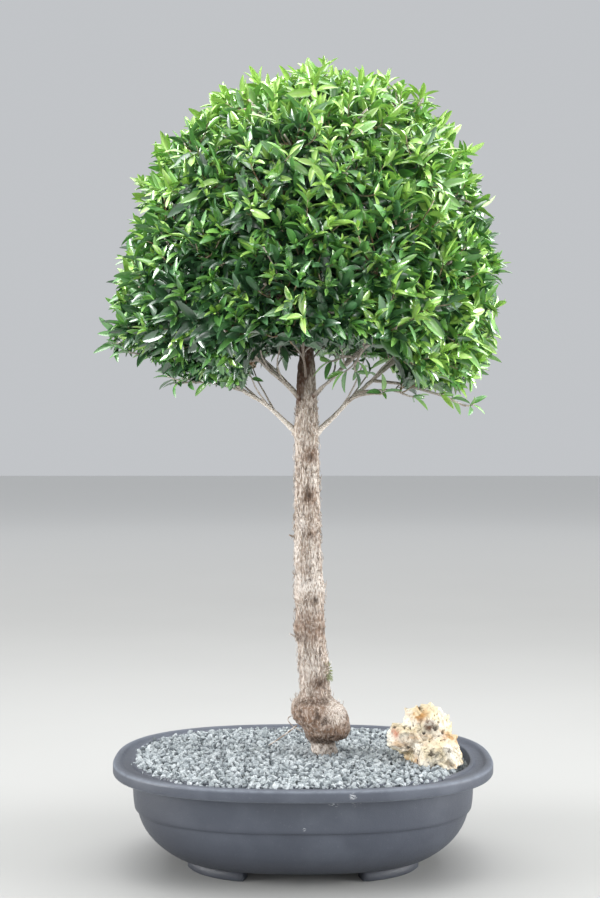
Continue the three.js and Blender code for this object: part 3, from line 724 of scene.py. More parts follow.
def chip_relief(points, count, tilt):
    """Flat chips. Their seeds lie on the rock in a golden spiral of directions. A point belongs to the
    nearest seed and moves out by slope.(point - seed), a plane of that seed's own. The second value is 1 on
    a chip's border."""
    index = np.arange(count)
    up = 1 - (2 * index + 1) / count
    turn = index * GOLDEN_TURN
    flat = np.sqrt(1 - up**2)
    _, seeds = bare_stone(np.stack([flat * np.cos(turn), flat * np.sin(turn), up], axis=-1))
    slopes = tilt * np.stack([vary(index, channel) for channel in range(3)], axis=-1)
    square = (points**2).sum(axis=-1)[..., None] - 2 * points @ seeds.T + (seeds**2).sum(axis=-1)
    own = square.argmin(axis=-1)
    nearest_two = np.partition(square, 1, axis=-1)[..., :2]
    near, next_near = np.moveaxis(np.sqrt(np.maximum(nearest_two, 0)), -1, 0)
    relief = (slopes[own] * (points - seeds[own])).sum(axis=-1)
    return relief, 1 - ease(next_near - near, 0, STONE_RELIEF.border)


def front_holes(points):
    """Holes in the front half: 1 within half a hole's size of its middle, eased to 0 at its size."""
    x, _, z = np.moveaxis(points + STONE_PLACE, -1, 0)
    holes = [1 - ease(np.hypot(x - across, z - up), size / 2, size) for across, up, size in STONE_HOLES]
    in_front = points[..., 1] < 0
    return np.max(holes, axis=0) * in_front


def stone_rings():
    """Rings from the underside to the top: heart + way x reach, with chips and noise on the reach and pits
    and holes cut into it. Nothing goes below the gravel. The second value says how hollow a point lies, and
    the finish paints it dark there as shade."""
    turn = 2 * math.pi * np.arange(STONE_GRID.around) / STONE_GRID.around
    tilt = np.linspace(-math.pi / 2, math.pi / 2, STONE_GRID.up + 2)[1:-1]
    turn, tilt = np.meshgrid(turn, tilt)
    way = np.stack([np.cos(tilt) * np.cos(turn), np.cos(tilt) * np.sin(turn), np.sin(tilt)], axis=-1)
    reach, bare = bare_stone(way)
    (large, _), (small, border) = (chip_relief(bare, *row) for row in CHIPS)
    rough = STONE_RELIEF.rough * layered_noise(bare, STONE_RELIEF.rough_size, 4, SEEDS.stone)
    pits = ease(noise(bare, STONE_RELIEF.pit_size, SEEDS.pit), *STONE_RELIEF.pit_range)
    split = ease(noise(bare, STONE_RELIEF.crevice_size, SEEDS.crevice), *STONE_RELIEF.crevice_range)
    crevice = border * split
    holes = front_holes(bare)
    reach = reach + large + small + rough - STONE_RELIEF.pit * pits
    reach = reach - STONE_RELIEF.crevice * crevice - STONE_RELIEF.hole * holes
    rings = STONE_PLACE + STONE_HEART + way * reach[..., None]
    rings[..., 2] = np.maximum(rings[..., 2], STONE_FOOT)
    return rings, np.max([pits, STONE_RELIEF.crevice_dark * crevice, holes], axis=0)


rings, pits = stone_rings()
print("stone spans", rings.min(axis=(0, 1)).round(1), "to", rings.max(axis=(0, 1)).round(1))

# %% [markdown]
# The rock is cream and white, stained ochre in bands and brown in its hollows, with a pink patch or two.
# Broad noise mixes the ground colours, each stain with a place has a ragged edge of finer noise, and fine
# brown specks lie over all. Two white spots are painted light on the lower front, and the pits, crevices
# and holes are painted dark as shade, by an attribute.

# %% Finish of the stone
ROCK = Sizes(
    cream=colour(0xd2c4a5),
    white=colour(0xe1dacb),
    ochre=colour(0xae7e40),
    brown=colour(0x5c3d27),
    pink=colour(0xb57a60),
    # painted shade in pits, crevices and holes
    pit=colour(0x33261c),
)
# Stains with a place, and two spots of painted light: middle, size, and the tint that is mixed in
ROCK_STAINS_AND_LIGHT = (
    ((105, -30, 144), 15, ROCK.ochre),
    ((107, -34, 142), 7, ROCK.brown),
    ((82, -32, 126), 10, ROCK.pink),
    ((132, -32, 116), 14, ROCK.ochre),
    ((98, -40, 102), 10, ROCK.ochre),
    ((115, -36, 132), 8, ROCK.brown),
    ((131, -34, 130), 7, ROCK.white),
    ((134, -40, 104), 19, ROCK.white),
    ((107, -40, 110), 9, ROCK.white),
    # painted light: the next two whites brighten the lower front, which the lamps leave in shade
    ((118, -44, 106), 15, ROCK.white),
    ((128, -44, 98), 12, ROCK.white),
    ((86, -30, 133), 8, ROCK.white),
    ((112, 8, 130), 14, ROCK.pink),
    ((128, 4, 112), 12, ROCK.brown),
)


def rock_finish():
    """Cream to white by noise, ochre in level bands, each stain and spot of painted light by its distance,
    specks, and painted shade in the hollows.
    """
    finish, sockets, place = new_finish("rock", roughness=0.85)
    ragged = place.grain(150, 5).between(0.38, 0.56)
    body = place.grain(45, 6).between(0.45, 0.6).tint(ROCK.cream, ROCK.white)
    body = (place.stretched((1, 1, 1.8)).grain(38, 5).between(0.52, 0.68) * 0.6).tint(body, ROCK.ochre)
    for spot, size, tint in ROCK_STAINS_AND_LIGHT:
        body = (place.near(spot, size) * (0.25 + ragged * 0.7)).tint(body, tint)
    body = (place.grain(90, 6).between(0.6, 0.74) * 0.45).tint(body, ROCK.brown)
    body = (place.grain(520, 5).between(0.6, 0.68) * 0.6).tint(body, ROCK.brown)
    # painted shade in the pits, crevices and holes
    body = (place.read("hollow") * 0.85).tint(body, ROCK.pit)
    place.feed(sockets["Base Color"], body)
    place.feed(sockets["Normal"], (place.grain(260, 6) + place.grain(900, 3) * 0.4).bump(depth=0.0016))
    return finish


points, faces = closed_skins(rings[None])
hollow = np.append(pits.ravel(), [0, 0])
stone = new_piece("accent_stone_rock", points, faces, rock_finish(), "stone", hollow=hollow)
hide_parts("accent_stone")

# %% [markdown]
# ## The trunk
# The trunk leans from a bare foot, swells to a burl just above it, and is covered in thin, fibrous, flaking
# bark. The same formulas as in the CAD source give its axis, its taper and its swellings. On a fine grid of
# angle and height, noise drawn out along the grain then gives the relief of the bark, which shows on the
# outline as well as on the face.

# %% Axis and radius of the trunk
TRUNK = Sizes(x=3, lean=17.5, lean_height=80, y=5, foot_radius=11.5, neck_height=13, neck_blend=2.5,
              fork=403, tip=645)
TAPER = Sizes(heights=(98, 253, 403, 453, 488, 645), radii=(14.4, 13.6, 11.2, 9.2, 6, 2.4))
# Swellings: angle round the trunk, height, size, how far each spreads up and round, and how square its
# profile is
SWELLINGS = (
    (-0.3, 129, 14, 18, 1.15, 4),
    (3.0, 138, 10, 13, 1.2, 4),
    (-1.6, 131, 8, 18, 0.9, 4),
    (0.6, 250, 2.6, 10, 2.2, 2),
    (3.3, 215, 2.4, 8, 1.0, 2),
    (0.1, 181, 2.0, 8, 0.8, 2),
    (3.1, 399, 1.8, 9, 1.1, 2),
)


def trunk_axis(z):
    """The middle of the trunk at a height: x leans by lean exp(-(z - ground) / lean_height), y eases to 0."""
    x = TRUNK.x + TRUNK.lean * np.exp(-(z - GRAVEL.height) / TRUNK.lean_height)
    y = blend(TRUNK.y, 0, ease(z, GRAVEL.height, TRUNK.fork))
    return np.stack([x, y, z + 0 * x], axis=-1)


def turn_between(first, second):
    """The angle from one direction to another, wrapped to half a turn either way."""
    return np.arctan2(np.sin(first - second), np.cos(first - second))


def trunk_radius(angle, z):
    """The taper, drawn in at the neck, plus bumps of out exp(-(turn / wide)^2 - (rise / tall)^power)."""
    neck = GRAVEL.height + TRUNK.neck_height
    above_neck = ease(z, neck - TRUNK.neck_blend, neck + TRUNK.neck_blend)
    radius = blend(TRUNK.foot_radius, np.interp(z, TAPER.heights, TAPER.radii), above_neck)
    for bump_angle, height, out, tall, wide, power in SWELLINGS:
        turn = turn_between(angle, bump_angle)
        rise = np.abs(z - height) / tall
        radius = radius + above_neck * out * np.exp(-((turn / wide) ** 2) - rise**power)
    return radius


at_gravel, at_fork = trunk_axis(np.array([GRAVEL.height, TRUNK.fork])).round(1)
print("the trunk's axis goes from", at_gravel, "at the gravel to", at_fork, "at the fork")

# %% Bark relief
BARK = Sizes(sides=144, step=0.75, upper_step=2.2, fine_top=470, foot=96.5, burl_top=162, burl_fade=24,
             inset=0.7, full_relief=9)
# Sizes of the noises in the bark, long in z where they follow the grain
BARK_LUMPS = Sizes(
    fibre=(1.5, 1.5, 7),
    flake=(4, 4, 9),
    fissure=(3.4, 3.4, 11),
    crust=(3.4, 3.4, 2.6),
    lump=9,
)
# How far each of them stands out or is cut in, and how wide a fissure is
BARK_HEIGHTS = Sizes(fibre=0.4, flake=0.6, fissure=0.4, fissure_width=0.12, crust=0.95, lump=0.5)
# A knot's relief: how far its hollow reaches, what its depth is divided by, and how fast its darkness fades
KNOT = Sizes(hollow=0.45, shallow=3, fade=2.2)
# Knots: angle round the trunk, height, and size of the scar of a lost twig
KNOTS = (
    (-1.24, 375, 3.4),
    (-1.43, 340, 5.0),
    (-1.4, 304, 2.8),
    (-1.48, 262, 2.6),
    (-1.17, 243, 5.2),
    (-1.2, 165, 4.4),
    (0.4, 330, 4.0),
    (1.7, 288, 5.0),
    (2.3, 352, 4.0),
    (1.2, 196, 4.6),
    (2.9, 246, 4.2),
)


def knot_relief(angle, z, radius):
    """Each knot is a hollow with a collar round it: size (d^2 - hollow) exp(-d^2) / shallow, with d the
    distance on the bark over the knot's size. The second value says how deep inside a knot a point is."""
    relief, inside = np.zeros_like(z), np.zeros_like(z)
    for knot_angle, height, size in KNOTS:
        square = (turn_between(angle, knot_angle) * radius / size) ** 2 + ((z - height) / size) ** 2
        relief += size * (square - KNOT.hollow) * np.exp(-square) / KNOT.shallow
        inside = np.maximum(inside, np.exp(-KNOT.fade * square))
    return relief, inside


def bark_relief(points, burl):
    """Noise drawn out along the grain in two sizes, less narrow fissures where another noise passes through
    0. On the burl it turns to a crust of round lumps."""
    fibre = layered_noise(points, BARK_LUMPS.fibre, 2, SEEDS.fibre)
    flake = layered_noise(points, BARK_LUMPS.flake, 2, SEEDS.flake)
    crossing = np.abs(noise(points, BARK_LUMPS.fissure, SEEDS.fissure))
    fissure = 1 - ease(crossing, 0, BARK_HEIGHTS.fissure_width)
    crust = layered_noise(points, BARK_LUMPS.crust, 3, SEEDS.crust)
    crust = crust + BARK_HEIGHTS.lump * noise(points, BARK_LUMPS.lump, SEEDS.lump)
    along_grain = BARK_HEIGHTS.fibre * fibre + BARK_HEIGHTS.flake * flake - BARK_HEIGHTS.fissure * fissure
    return blend(along_grain, BARK_HEIGHTS.crust * crust, burl)


def trunk_grid():
    """Rings of the trunk from the gravel to the tip, each point's angle, height and bare radius, its relief,
    and how deep it lies in a knot. The radius grows by the relief of the bark and of the knots."""
    fine = np.arange(BARK.foot, BARK.fine_top, BARK.step)
    coarse = np.arange(BARK.fine_top, TRUNK.tip, BARK.upper_step)
    heights = np.concatenate([fine, coarse, [TRUNK.tip]])
    angle, z = np.meshgrid(2 * math.pi * np.arange(BARK.sides) / BARK.sides, heights)
    radius = trunk_radius(angle, z)
    bare = np.stack([radius * np.cos(angle), radius * np.sin(angle), z], axis=-1)
    burl = 1 - ease(z, BARK.burl_top - BARK.burl_fade, BARK.burl_top)
    relief = bark_relief(bare, burl) * np.minimum(1, radius / BARK.full_relief)
    dents, knots = knot_relief(angle, z, radius)
    grown = (radius - BARK.inset * (1 - burl) + relief + dents) / radius
    return trunk_axis(z) + bare * grown[..., None] * [1, 1, 0], (angle, z, radius), relief, knots


rings, bark_places, relief, knots = trunk_grid()
print("trunk grid of", rings.shape[0], "rings")
print("relief from", relief.min().round(2), "to", relief.max().round(2))

# %% [markdown]
# The bark is pale grey-beige and fibrous, stained rust-brown in a broad band above the burl, on the burl's
# lower lip and round a few knots, and bleached on the foot and in patches higher up. Painted shade makes it
# dark brown under the burl, in a few creases and at a few knots, and inside the crown it is painted darker as
# the crown's shade. Each stain and each painted shade is worked out for every point of the grid and reaches
# the shader as an attribute, so that it has a place and a soft edge; fine noise drawn out along the grain
# breaks that edge into fibres.

# %% Finish of the bark
BARK_TINTS = Sizes(
    white=colour(0xd5cdc5),
    pale=colour(0xc9beb4),
    tan=colour(0x8f7f70),
    rust=colour(0x735743),
    brown=colour(0x665346),
    deep=colour(0x3f2f25),
    shaded=colour(0x573c2d),
)
# Where the bark darkens under the crown: the height at the left, how much higher at the right, and the fade
CROWN_SHADE = Sizes(height=406, slant=54, fade=22)
# Rusty and bleached stains, and painted shade under the burl, in creases and at knots: angle round the
# trunk, height, half width and half height on the bark, and strength
RUST = (
    (-1.57, 217, 30, 14, 0.8),
    (1.4, 232, 26, 16, 0.7),
    (-1.2, 165, 8, 8, 0.8),
    (-1.5, 149, 10, 9, 0.8),
    (-2.1, 134, 24, 18, 1),
    (-1.3, 119, 44, 11, 1),
    (1.8, 119, 44, 11, 1),
    (-0.2, 128, 18, 13, 0.8),
    (-1.2, 377, 9, 8, 0.9),
    (-1.35, 339, 8, 9, 0.9),
    (-1.25, 304, 7, 5, 0.7),
    (0.6, 300, 12, 20, 0.5),
    (2.2, 350, 10, 12, 0.7),
)
BLEACHED = (
    (-1.57, 257, 44, 8, 0.8),
    (1.57, 262, 44, 8, 0.8),
    (-0.7, 139, 12, 8, 0.45),
    (-1.57, 102, 60, 7, 0.55),
    (1.57, 102, 60, 7, 0.55),
    (-1.9, 184, 16, 14, 0.4),
    (-0.9, 360, 6, 12, 0.7),
    (-1.1, 280, 7, 20, 0.6),
    (-2.1, 317, 6, 10, 0.6),
    (-2.6, 290, 5, 16, 0.7),
    (1.2, 310, 8, 18, 0.6),
)
# Painted shade: dark brown under the burl, in a few creases and at a few knots
BARK_SHADE = (
    (-1.4, 113.5, 44, 5.5, 0.9),
    (1.7, 113.5, 44, 5.5, 0.9),
    (-2.0, 149, 18, 3, 0.75),
    (-0.7, 151, 14, 2.5, 0.7),
    (-1.2, 166, 7, 4, 0.6),
    (-2.5, 208, 10, 5, 0.6),
    (-0.6, 214, 6, 5, 0.5),
    (-1.2, 376, 5, 4, 0.6),
    (-1.3, 347, 6, 3, 0.7),
)


def stains_and_shade(rows, angle, z, radius):
    """The strongest spot at each point, for stains and for painted shade alike: strength exp(-d^4), with d
    the distance over the half sizes.
    """
    strongest = np.zeros_like(z)
    for stain_angle, height, half_width, half_height, strength in rows:
        across = turn_between(angle, stain_angle) * radius / half_width
        square = across**2 + ((z - height) / half_height) ** 2
        strongest = np.maximum(strongest, strength * np.exp(-(square**2)))
    return strongest


def crown_shade(angle, z, _):
    """0 on the open trunk and 1 in the crown: an eased rise from an edge that climbs to the right side."""
    edge = CROWN_SHADE.height + CROWN_SHADE.slant * (1 + np.cos(angle)) / 2
    return ease(z, edge, edge + CROWN_SHADE.fade)


def bark_finish():
    """Tan to pale by fibres, brown by strands and patches, then the tint of each stain and of each painted
    shade by its attribute times noise drawn out along the grain, and the deep tint in knots and in the low
    parts of the relief."""
    finish, sockets, place = new_finish("bark", roughness=0.92)
    fibre = place.stretched((1, 1, 0.3)).grain(900, 4)
    strand = place.stretched((1, 1, 0.3)).grain(520, 4)
    speck = place.stretched((1, 1, 0.6)).grain(420, 5)
    body = fibre.between(0.38, 0.6).tint(BARK_TINTS.tan, BARK_TINTS.pale)
    body = (strand.between(0.5, 0.64) * 0.6).tint(body, BARK_TINTS.brown)
    patch = place.grain(130, 5).between(0.54, 0.66) * fibre.between(0.4, 0.56)
    body = (patch * 0.6).tint(body, BARK_TINTS.brown)
    body = (place.read("rust") * (0.45 + speck.between(0.45, 0.6) * 0.5)).tint(body, BARK_TINTS.rust)
    body = (place.read("bleached") * fibre.between(0.34, 0.52)).tint(body, BARK_TINTS.white)
    # painted shade under the burl, in creases and at knots
    body = (place.read("damp") * (0.4 + speck.between(0.42, 0.58) * 0.6)).tint(body, BARK_TINTS.deep)
    body = (place.read("shade") * (0.7 + speck.between(0.4, 0.6) * 0.3)).tint(body, BARK_TINTS.shaded)
    body = (place.read("knot") * 0.9).tint(body, BARK_TINTS.deep)
    body = ((1 - place.read("relief").between(-1.0, -0.1)) * 0.7).tint(body, BARK_TINTS.deep)
    place.feed(sockets["Base Color"], body)
    place.feed(sockets["Normal"], (fibre + place.grain(1500, 3) * 0.4).bump(depth=0.0012))
    return finish


def with_ends(values):
    """Values of a grid of rings in the order of its points, with 0 for the two closing points."""
    return np.append(values.ravel(), [0, 0])


points, faces = closed_skins(rings[None])
on_bark = {
    "relief": relief,
    "knot": knots,
    "shade": crown_shade(*bark_places),
    "rust": stains_and_shade(RUST, *bark_places),
    "bleached": stains_and_shade(BLEACHED, *bark_places),
    "damp": stains_and_shade(BARK_SHADE, *bark_places),
}
attributes = {label: with_ends(values) for label, values in on_bark.items()}
trunk = new_piece("trunk_bark", points, faces, bark_finish(), "bark", **attributes)
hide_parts("trunk")

# %% [markdown]
# Loose fibres lift off the bark all the way up to the crown, the burl carries short hairy roots, one thin
# root loops out of it, a dead stalk leans from it on to the gravel, and three stubs of lost twigs stick out
# at the left. All are tubes along curves with one control point, which one function makes for many curves
# at once. A fibre takes the rust of the bark it grows on.

# %% Tubes along paths
def bezier(start, control, end, share):
    """Points on curves with one control point: (1 - t)^2 start + 2 t (1 - t) control + t^2 end."""
    t = np.asarray(share)[..., None]
    return (1 - t) ** 2 * start + 2 * t * (1 - t) * control + t**2 * end


def tube_rings(paths, radii, sides):
    """Rings round paths, an array of paths x stations x 3. Two directions across a path are crossed from
    its tangent and from the axis it leans on least, and a ring is centre + radius (cos a, sin a) in those
    directions."""
    tangent = unit(np.gradient(paths, axis=1))
    lean = np.abs(paths[:, -1] - paths[:, 0])
    side = unit(np.cross(np.eye(3)[lean.argmin(axis=-1)][:, None], tangent))
    up = np.cross(tangent, side)
    turn = 2 * math.pi * np.arange(sides) / sides
    ring = np.cos(turn)[:, None] * side[:, :, None] + np.sin(turn)[:, None] * up[:, :, None]
    return paths[:, :, None] + radii[..., None, None] * ring


def kinked(paths, size, depth, seed):
    """Paths moved by three noises, one for each axis, by 0 at the ends and up to a depth between."""
    share = np.linspace(0, math.pi, paths.shape[1])
    moves = np.stack([noise(paths, size, seed + axis) for axis in range(3)], axis=-1)
    return paths + depth * np.sin(share)[:, None] * moves


half_way = bezier(np.zeros(3), np.array([0, 0, 10]), np.array([10, 0, 0]), 0.5)
print("half way along a curve to (10, 0, 0) that starts upwards:", half_way)

# %% Loose fibres, roots and stubs
FIBRE = Sizes(count=1300, on_burl=0.3, low=110, burl=164, high=430, sunk=0.4, turn=0.3, burl_turn=1.2,
              length=4.5, burl_length=5, vary_length=(0.5, 1.3), lift=0.5, bow=0.25,
              start_radius=0.3, end_radius=0.14, stations=5, sides=4, seed=51)
# Single strands: start, control point, end, and radius at the start and at the end
STRANDS = (
    ((-4, 1, 135), (-26, -6, 134), (0, -8, 120), 0.5, 0.4),
    ((-6, 3, 124), (-16, 14, 113), (-33, 29, 99), 0.9, 0.6),
    ((-5, 3, 301), (-9, 1, 301), (-13, 0, 303), 1.5, 0.7),
    ((-5, 3, 306), (-8, 2, 304), (-11, 1, 299), 0.7, 0.3),
    ((-5, 2, 207), (-9, 1, 208), (-12.5, 0, 211), 1.4, 0.6),
)
STRAND = Sizes(stations=14, sides=7, rust=0.1)


def loose_fibres():
    """Start, control and end of each fibre, and the rust where it grows. It starts on the bark and runs
    mostly along the grain, or to any side on the burl; the control point is lifted outwards, so that the
    fibre bows off the trunk."""
    dice = np.random.default_rng(FIBRE.seed)
    on_burl = dice.random(FIBRE.count) < FIBRE.on_burl
    z = np.where(on_burl, dice.uniform(FIBRE.low, FIBRE.burl, FIBRE.count),
                 dice.uniform(FIBRE.burl, FIBRE.high, FIBRE.count))
    angle = dice.uniform(0, 2 * math.pi, FIBRE.count)
    outward = np.stack([np.cos(angle), np.sin(angle), 0 * angle], axis=-1)
    around = np.stack([-np.sin(angle), np.cos(angle), 0 * angle], axis=-1)
    starts = trunk_axis(z) + outward * (trunk_radius(angle, z) - FIBRE.sunk)[:, None]
    turn = dice.normal(size=FIBRE.count) * np.where(on_burl, FIBRE.burl_turn, FIBRE.turn)
    rise = np.where(dice.random(FIBRE.count) < 0.5, -1.0, 1.0)
    lift = FIBRE.lift * dice.random(FIBRE.count)
    way = unit(around * turn[:, None] + outward * lift[:, None] + rise[:, None] * [0, 0, 1])
    length = np.where(on_burl, FIBRE.burl_length, FIBRE.length)
    length = length * dice.uniform(*FIBRE.vary_length, FIBRE.count)
    tips = starts + way * length[:, None]
    curves = starts, (starts + tips) / 2 + outward * FIBRE.bow * length[:, None], tips
    return curves, stains_and_shade(RUST, angle, z, trunk_radius(angle, z))


def fibre_finish():
    """Tan to white by noise, and brown by the rust of the bark below."""
    finish, sockets, place = new_finish("loose fibre", roughness=0.9)
    body = place.grain(160, 4).between(0.38, 0.62).tint(BARK_TINTS.tan, BARK_TINTS.white)
    place.feed(sockets["Base Color"], (place.read("rust") * 0.9).tint(body, BARK_TINTS.brown))
    place.feed(sockets["Normal"], place.grain(2000, 2).bump(depth=0.0002))
    return finish


def curved_tubes(starts, controls, tips, radii, stations, sides):
    """Rings of tubes along curves with one control point, whose radii change evenly from start to tip."""
    share = np.linspace(0, 1, stations)
    columns = (np.asarray(points)[:, None] for points in (starts, controls, tips))
    paths = bezier(*columns, share)
    start_radius, end_radius = (np.broadcast_to(radius, len(paths))[:, None] for radius in radii)
    return tube_rings(paths, blend(start_radius, end_radius, share), sides)


loose = fibre_finish()
radii = (FIBRE.start_radius, FIBRE.end_radius)
curves, rust = loose_fibres()
points, faces = closed_skins(curved_tubes(*curves, radii, FIBRE.stations, FIBRE.sides))
rust = np.repeat(rust, len(points) // FIBRE.count)
fibres = new_piece("trunk_fibres", points, faces, loose, "bark", rust=rust)
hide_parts("trunk")
*curve, start_radii, end_radii = zip(*STRANDS)
points, faces = closed_skins(curved_tubes(*curve, (start_radii, end_radii), STRAND.stations, STRAND.sides))
roots = new_piece("trunk_roots", points, faces, loose, "bark", rust=np.full(len(points), STRAND.rust))
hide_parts("trunk")

# %% [markdown]
# ## The plan of the crown
# The crown is clipped to a dome over a shallow bowl, with an open arch from front to back under its middle,
# where the boughs show. The CAD source divides it into masses, each round a hub that a bough leads to.
# Those rules are written again here, because the twigs and leaves below grow on from the same boughs to the
# same outline, only finer.

# %% Outline, arch and hubs
CROWN = Sizes(x=2, lean=12, waist=503, radius=185, dome=241, dome_power=2.3)
# The bowl under the widest ring, and the feet of the arch, each at the far left and at the far right
BOWL = Sizes(depth=(66, 80), power=(2, 3.4))
ARCH = Sizes(top=482, inner=(44, 70), foot=(437, 443), outer=(66, 110))
CORE = Sizes(share=0.86, margin=5, trunk_space=30)
# Rings of masses: how many, how far out and how high their hubs are, and the turn of the first
MASS_RINGS = ((8, 117, 496, 0), (5, 90, 612, -math.pi / 10), (1, 0, 682, 0))
MASS_VARIATION = Sizes(turn=0.07, reach=0.04, height=6)
CROWN_MIDDLE = np.array([CROWN.x, 0, CROWN.waist])


def outline_share(points):
    """How far out a point lies, 0 at the crown's middle and 1 on its outline: (across^p + rise^p)^(1/p).
    The dome leans to the right as it rises. The bowl goes from its left to its right form with the cosine
    of the turn."""
    rise = points[..., 2] - CROWN.waist
    sideways = points[..., 0] - CROWN.x - CROWN.lean * np.maximum(rise, 0) / CROWN.dome
    across = np.hypot(sideways, points[..., 1])
    rightness = (1 + sideways / np.maximum(across, TINY)) / 2
    above = rise > 0
    power = np.where(above, CROWN.dome_power, blend(*BOWL.power, rightness))
    height = np.where(above, CROWN.dome, blend(*BOWL.depth, rightness))
    return ((across / CROWN.radius) ** power + (np.abs(rise) / height) ** power) ** (1 / power)


def arch_height(points):
    """The underside of the foliage: high over the middle, and eased down to a foot on either side."""
    sideways = points[..., 0] - CROWN.x
    side = (sideways > 0).astype(int)
    foot, inner, outer = (np.array(pair)[side] for pair in (ARCH.foot, ARCH.inner, ARCH.outer))
    return blend(ARCH.top, foot, ease(np.abs(sideways), inner, outer))


def mass_hubs():
    """The turn and the hub of each mass: places round a ring, each varied a little by its own spread."""
    rows = [(turn + 2 * math.pi * i / count, reach, height)
            for count, reach, height, turn in MASS_RINGS for i in range(count)]
    turn, reach, height = np.array(rows).T
    place = np.arange(len(rows))
    turn = turn + MASS_VARIATION.turn * vary(place, 0)
    reach = reach * (1 + MASS_VARIATION.reach * vary(place, 1))
    height = height + MASS_VARIATION.height * vary(place, 2)
    return turn, np.stack([CROWN.x + reach * np.cos(turn), reach * np.sin(turn), height], axis=-1)


def in_core(points, mass):
    """True off the trunk, above the arch, inside the outline, and nearest to a mass's hub by a margin."""
    axis = trunk_axis(np.minimum(points[:, 2], TRUNK.tip + CORE.margin))
    off_trunk = (np.hypot(*(points - axis)[:, :2].T) > CORE.trunk_space) | (points[:, 2] > axis[:, 2])
    above_arch = points[:, 2] > arch_height(points) + CORE.margin
    others = np.delete(hubs, mass, axis=0)
    beyond = points[:, None] - (others + hubs[mass]) / 2
    in_cell = ((beyond * unit(others - hubs[mass])).sum(axis=-1) < -CORE.margin).all(axis=1)
    return off_trunk & above_arch & in_cell & (outline_share(points) < CORE.share)


hub_turns, hubs = mass_hubs()
print("hubs of", len(hubs), "masses, from", hubs[:, 2].min().round(), "to", hubs[:, 2].max().round(), "mm up")

# %% [markdown]
# ## Boughs
# Eight boughs fork from the trunk under the crown and five more inside it. They are thin, pale and slightly
# kinked, and thicken into a collar where they leave the trunk, which is dark only in the crown's shade. Of
# the lower ones, those to the right and to the left are the stoutest. Each is a tube along a curve: the
# bough of the CAD model, and then the stem that runs on from its tip to the hub of its mass.

# %% Paths of the boughs
# Rings of boughs: how many, height of the foot at the sides, its rise to front and back, radius at the foot
# and at the tip, and the arch over the way
BOUGH_RINGS = ((8, 388, 58, 2.8, 1.8, 5), (5, 527, 16, 2.5, 1.7, 1))
BOUGH = Sizes(stop=8, rise_power=1.5, sides=12, stations=44, kink=2.4, kink_size=26, collar=1.3, collar_run=5,
              relief=0.16, relief_size=(2.6, 2.6, 4))
# For each bough a multiple of the radius, and how deep it lies in the crown's shade
STOUT = (0.88, 0.45, 0.45, 0.45, 0.88, 0.5, 0.45, 0.5, 1, 1, 1, 1, 1)
SHADED = (0, 0.1, 0.4, 0.1, 0, 0.12, 0.6, 0.12, 0.6, 0.6, 0.6, 0.6, 0.6)
STEM = Sizes(run=14, hub_radius=1.5, stations=20)


def bough_path(mass, foot_height, rise, arch):
    """The bough's curve from the trunk's axis to just short of the core of its mass, and on to the hub."""
    foot = trunk_axis(np.array(foot_height + rise * abs(math.sin(hub_turns[mass])) ** BOUGH.rise_power))
    way = unit(hubs[mass] - foot)
    steps = np.arange(0.0, np.linalg.norm(hubs[mass] - foot))
    entry = steps[in_core(foot + way * steps[:, None], mass).argmax()]
    tip = foot + way * (entry - BOUGH.stop)
    middle = (foot + tip) / 2 + [0, 0, arch]
    turn = tip + unit(tip - middle) * STEM.run
    limb = bezier(foot, middle, tip, np.linspace(0, 1, BOUGH.stations))
    stem = bezier(tip, turn, hubs[mass], np.linspace(0, 1, STEM.stations + 1)[1:])
    return np.concatenate([limb, stem])


def all_boughs():
    """Paths, radii and shade of the boughs, a row each. A collar is an exponential of the way from the
    trunk, and is as dark as the trunk where the bough lies in the crown's shade."""
    paths, radii = [], []
    for count, foot_height, rise, foot_radius, tip_radius, arch in BOUGH_RINGS:
        for _ in range(count):
            paths.append(bough_path(len(paths), foot_height, rise, arch))
            limb = np.linspace(foot_radius, tip_radius, BOUGH.stations)
            radii.append(np.append(limb, np.linspace(tip_radius, STEM.hub_radius, STEM.stations)))
    stout = np.array(STOUT)[:, None]
    paths, radii = np.array(paths), np.array(radii)
    from_axis = np.linalg.norm((paths - trunk_axis(paths[..., 2]))[..., :2], axis=-1)
    outside = np.maximum(from_axis - np.interp(paths[..., 2], TAPER.heights, TAPER.radii), 0)
    collar = np.exp(-outside / BOUGH.collar_run)
    shaded = np.array(SHADED)[:, None]
    shade = np.maximum(collar * (shaded > 0), shaded)
    bent = kinked(paths, BOUGH.kink_size, BOUGH.kink, SEEDS.boughs)
    return bent, stout * (radii + BOUGH.collar * collar), shade


bough_paths, bough_radii, bough_shade = all_boughs()
print("boughs:", len(bough_paths))

# %% Bough bark
BOUGH_TINTS = Sizes(pale=colour(0xdcd5cc), tan=colour(0xb3a799), dark=colour(0x75675a))


def bough_finish():
    """Tan to pale by streaks, dark scars, and the trunk's shaded tint by the bough's own shade."""
    finish, sockets, place = new_finish("bough bark", roughness=0.88)
    streak = place.grain(700, 5)
    scar = place.grain(190, 4)
    body = streak.between(0.35, 0.65).tint(BOUGH_TINTS.tan, BOUGH_TINTS.pale)
    body = (scar.between(0.56, 0.7) * 0.7).tint(body, BOUGH_TINTS.dark)
    place.feed(sockets["Base Color"], place.read("shade").tint(body, BARK_TINTS.shaded))
    place.feed(sockets["Normal"], (streak + scar).bump(depth=0.0007))
    return finish


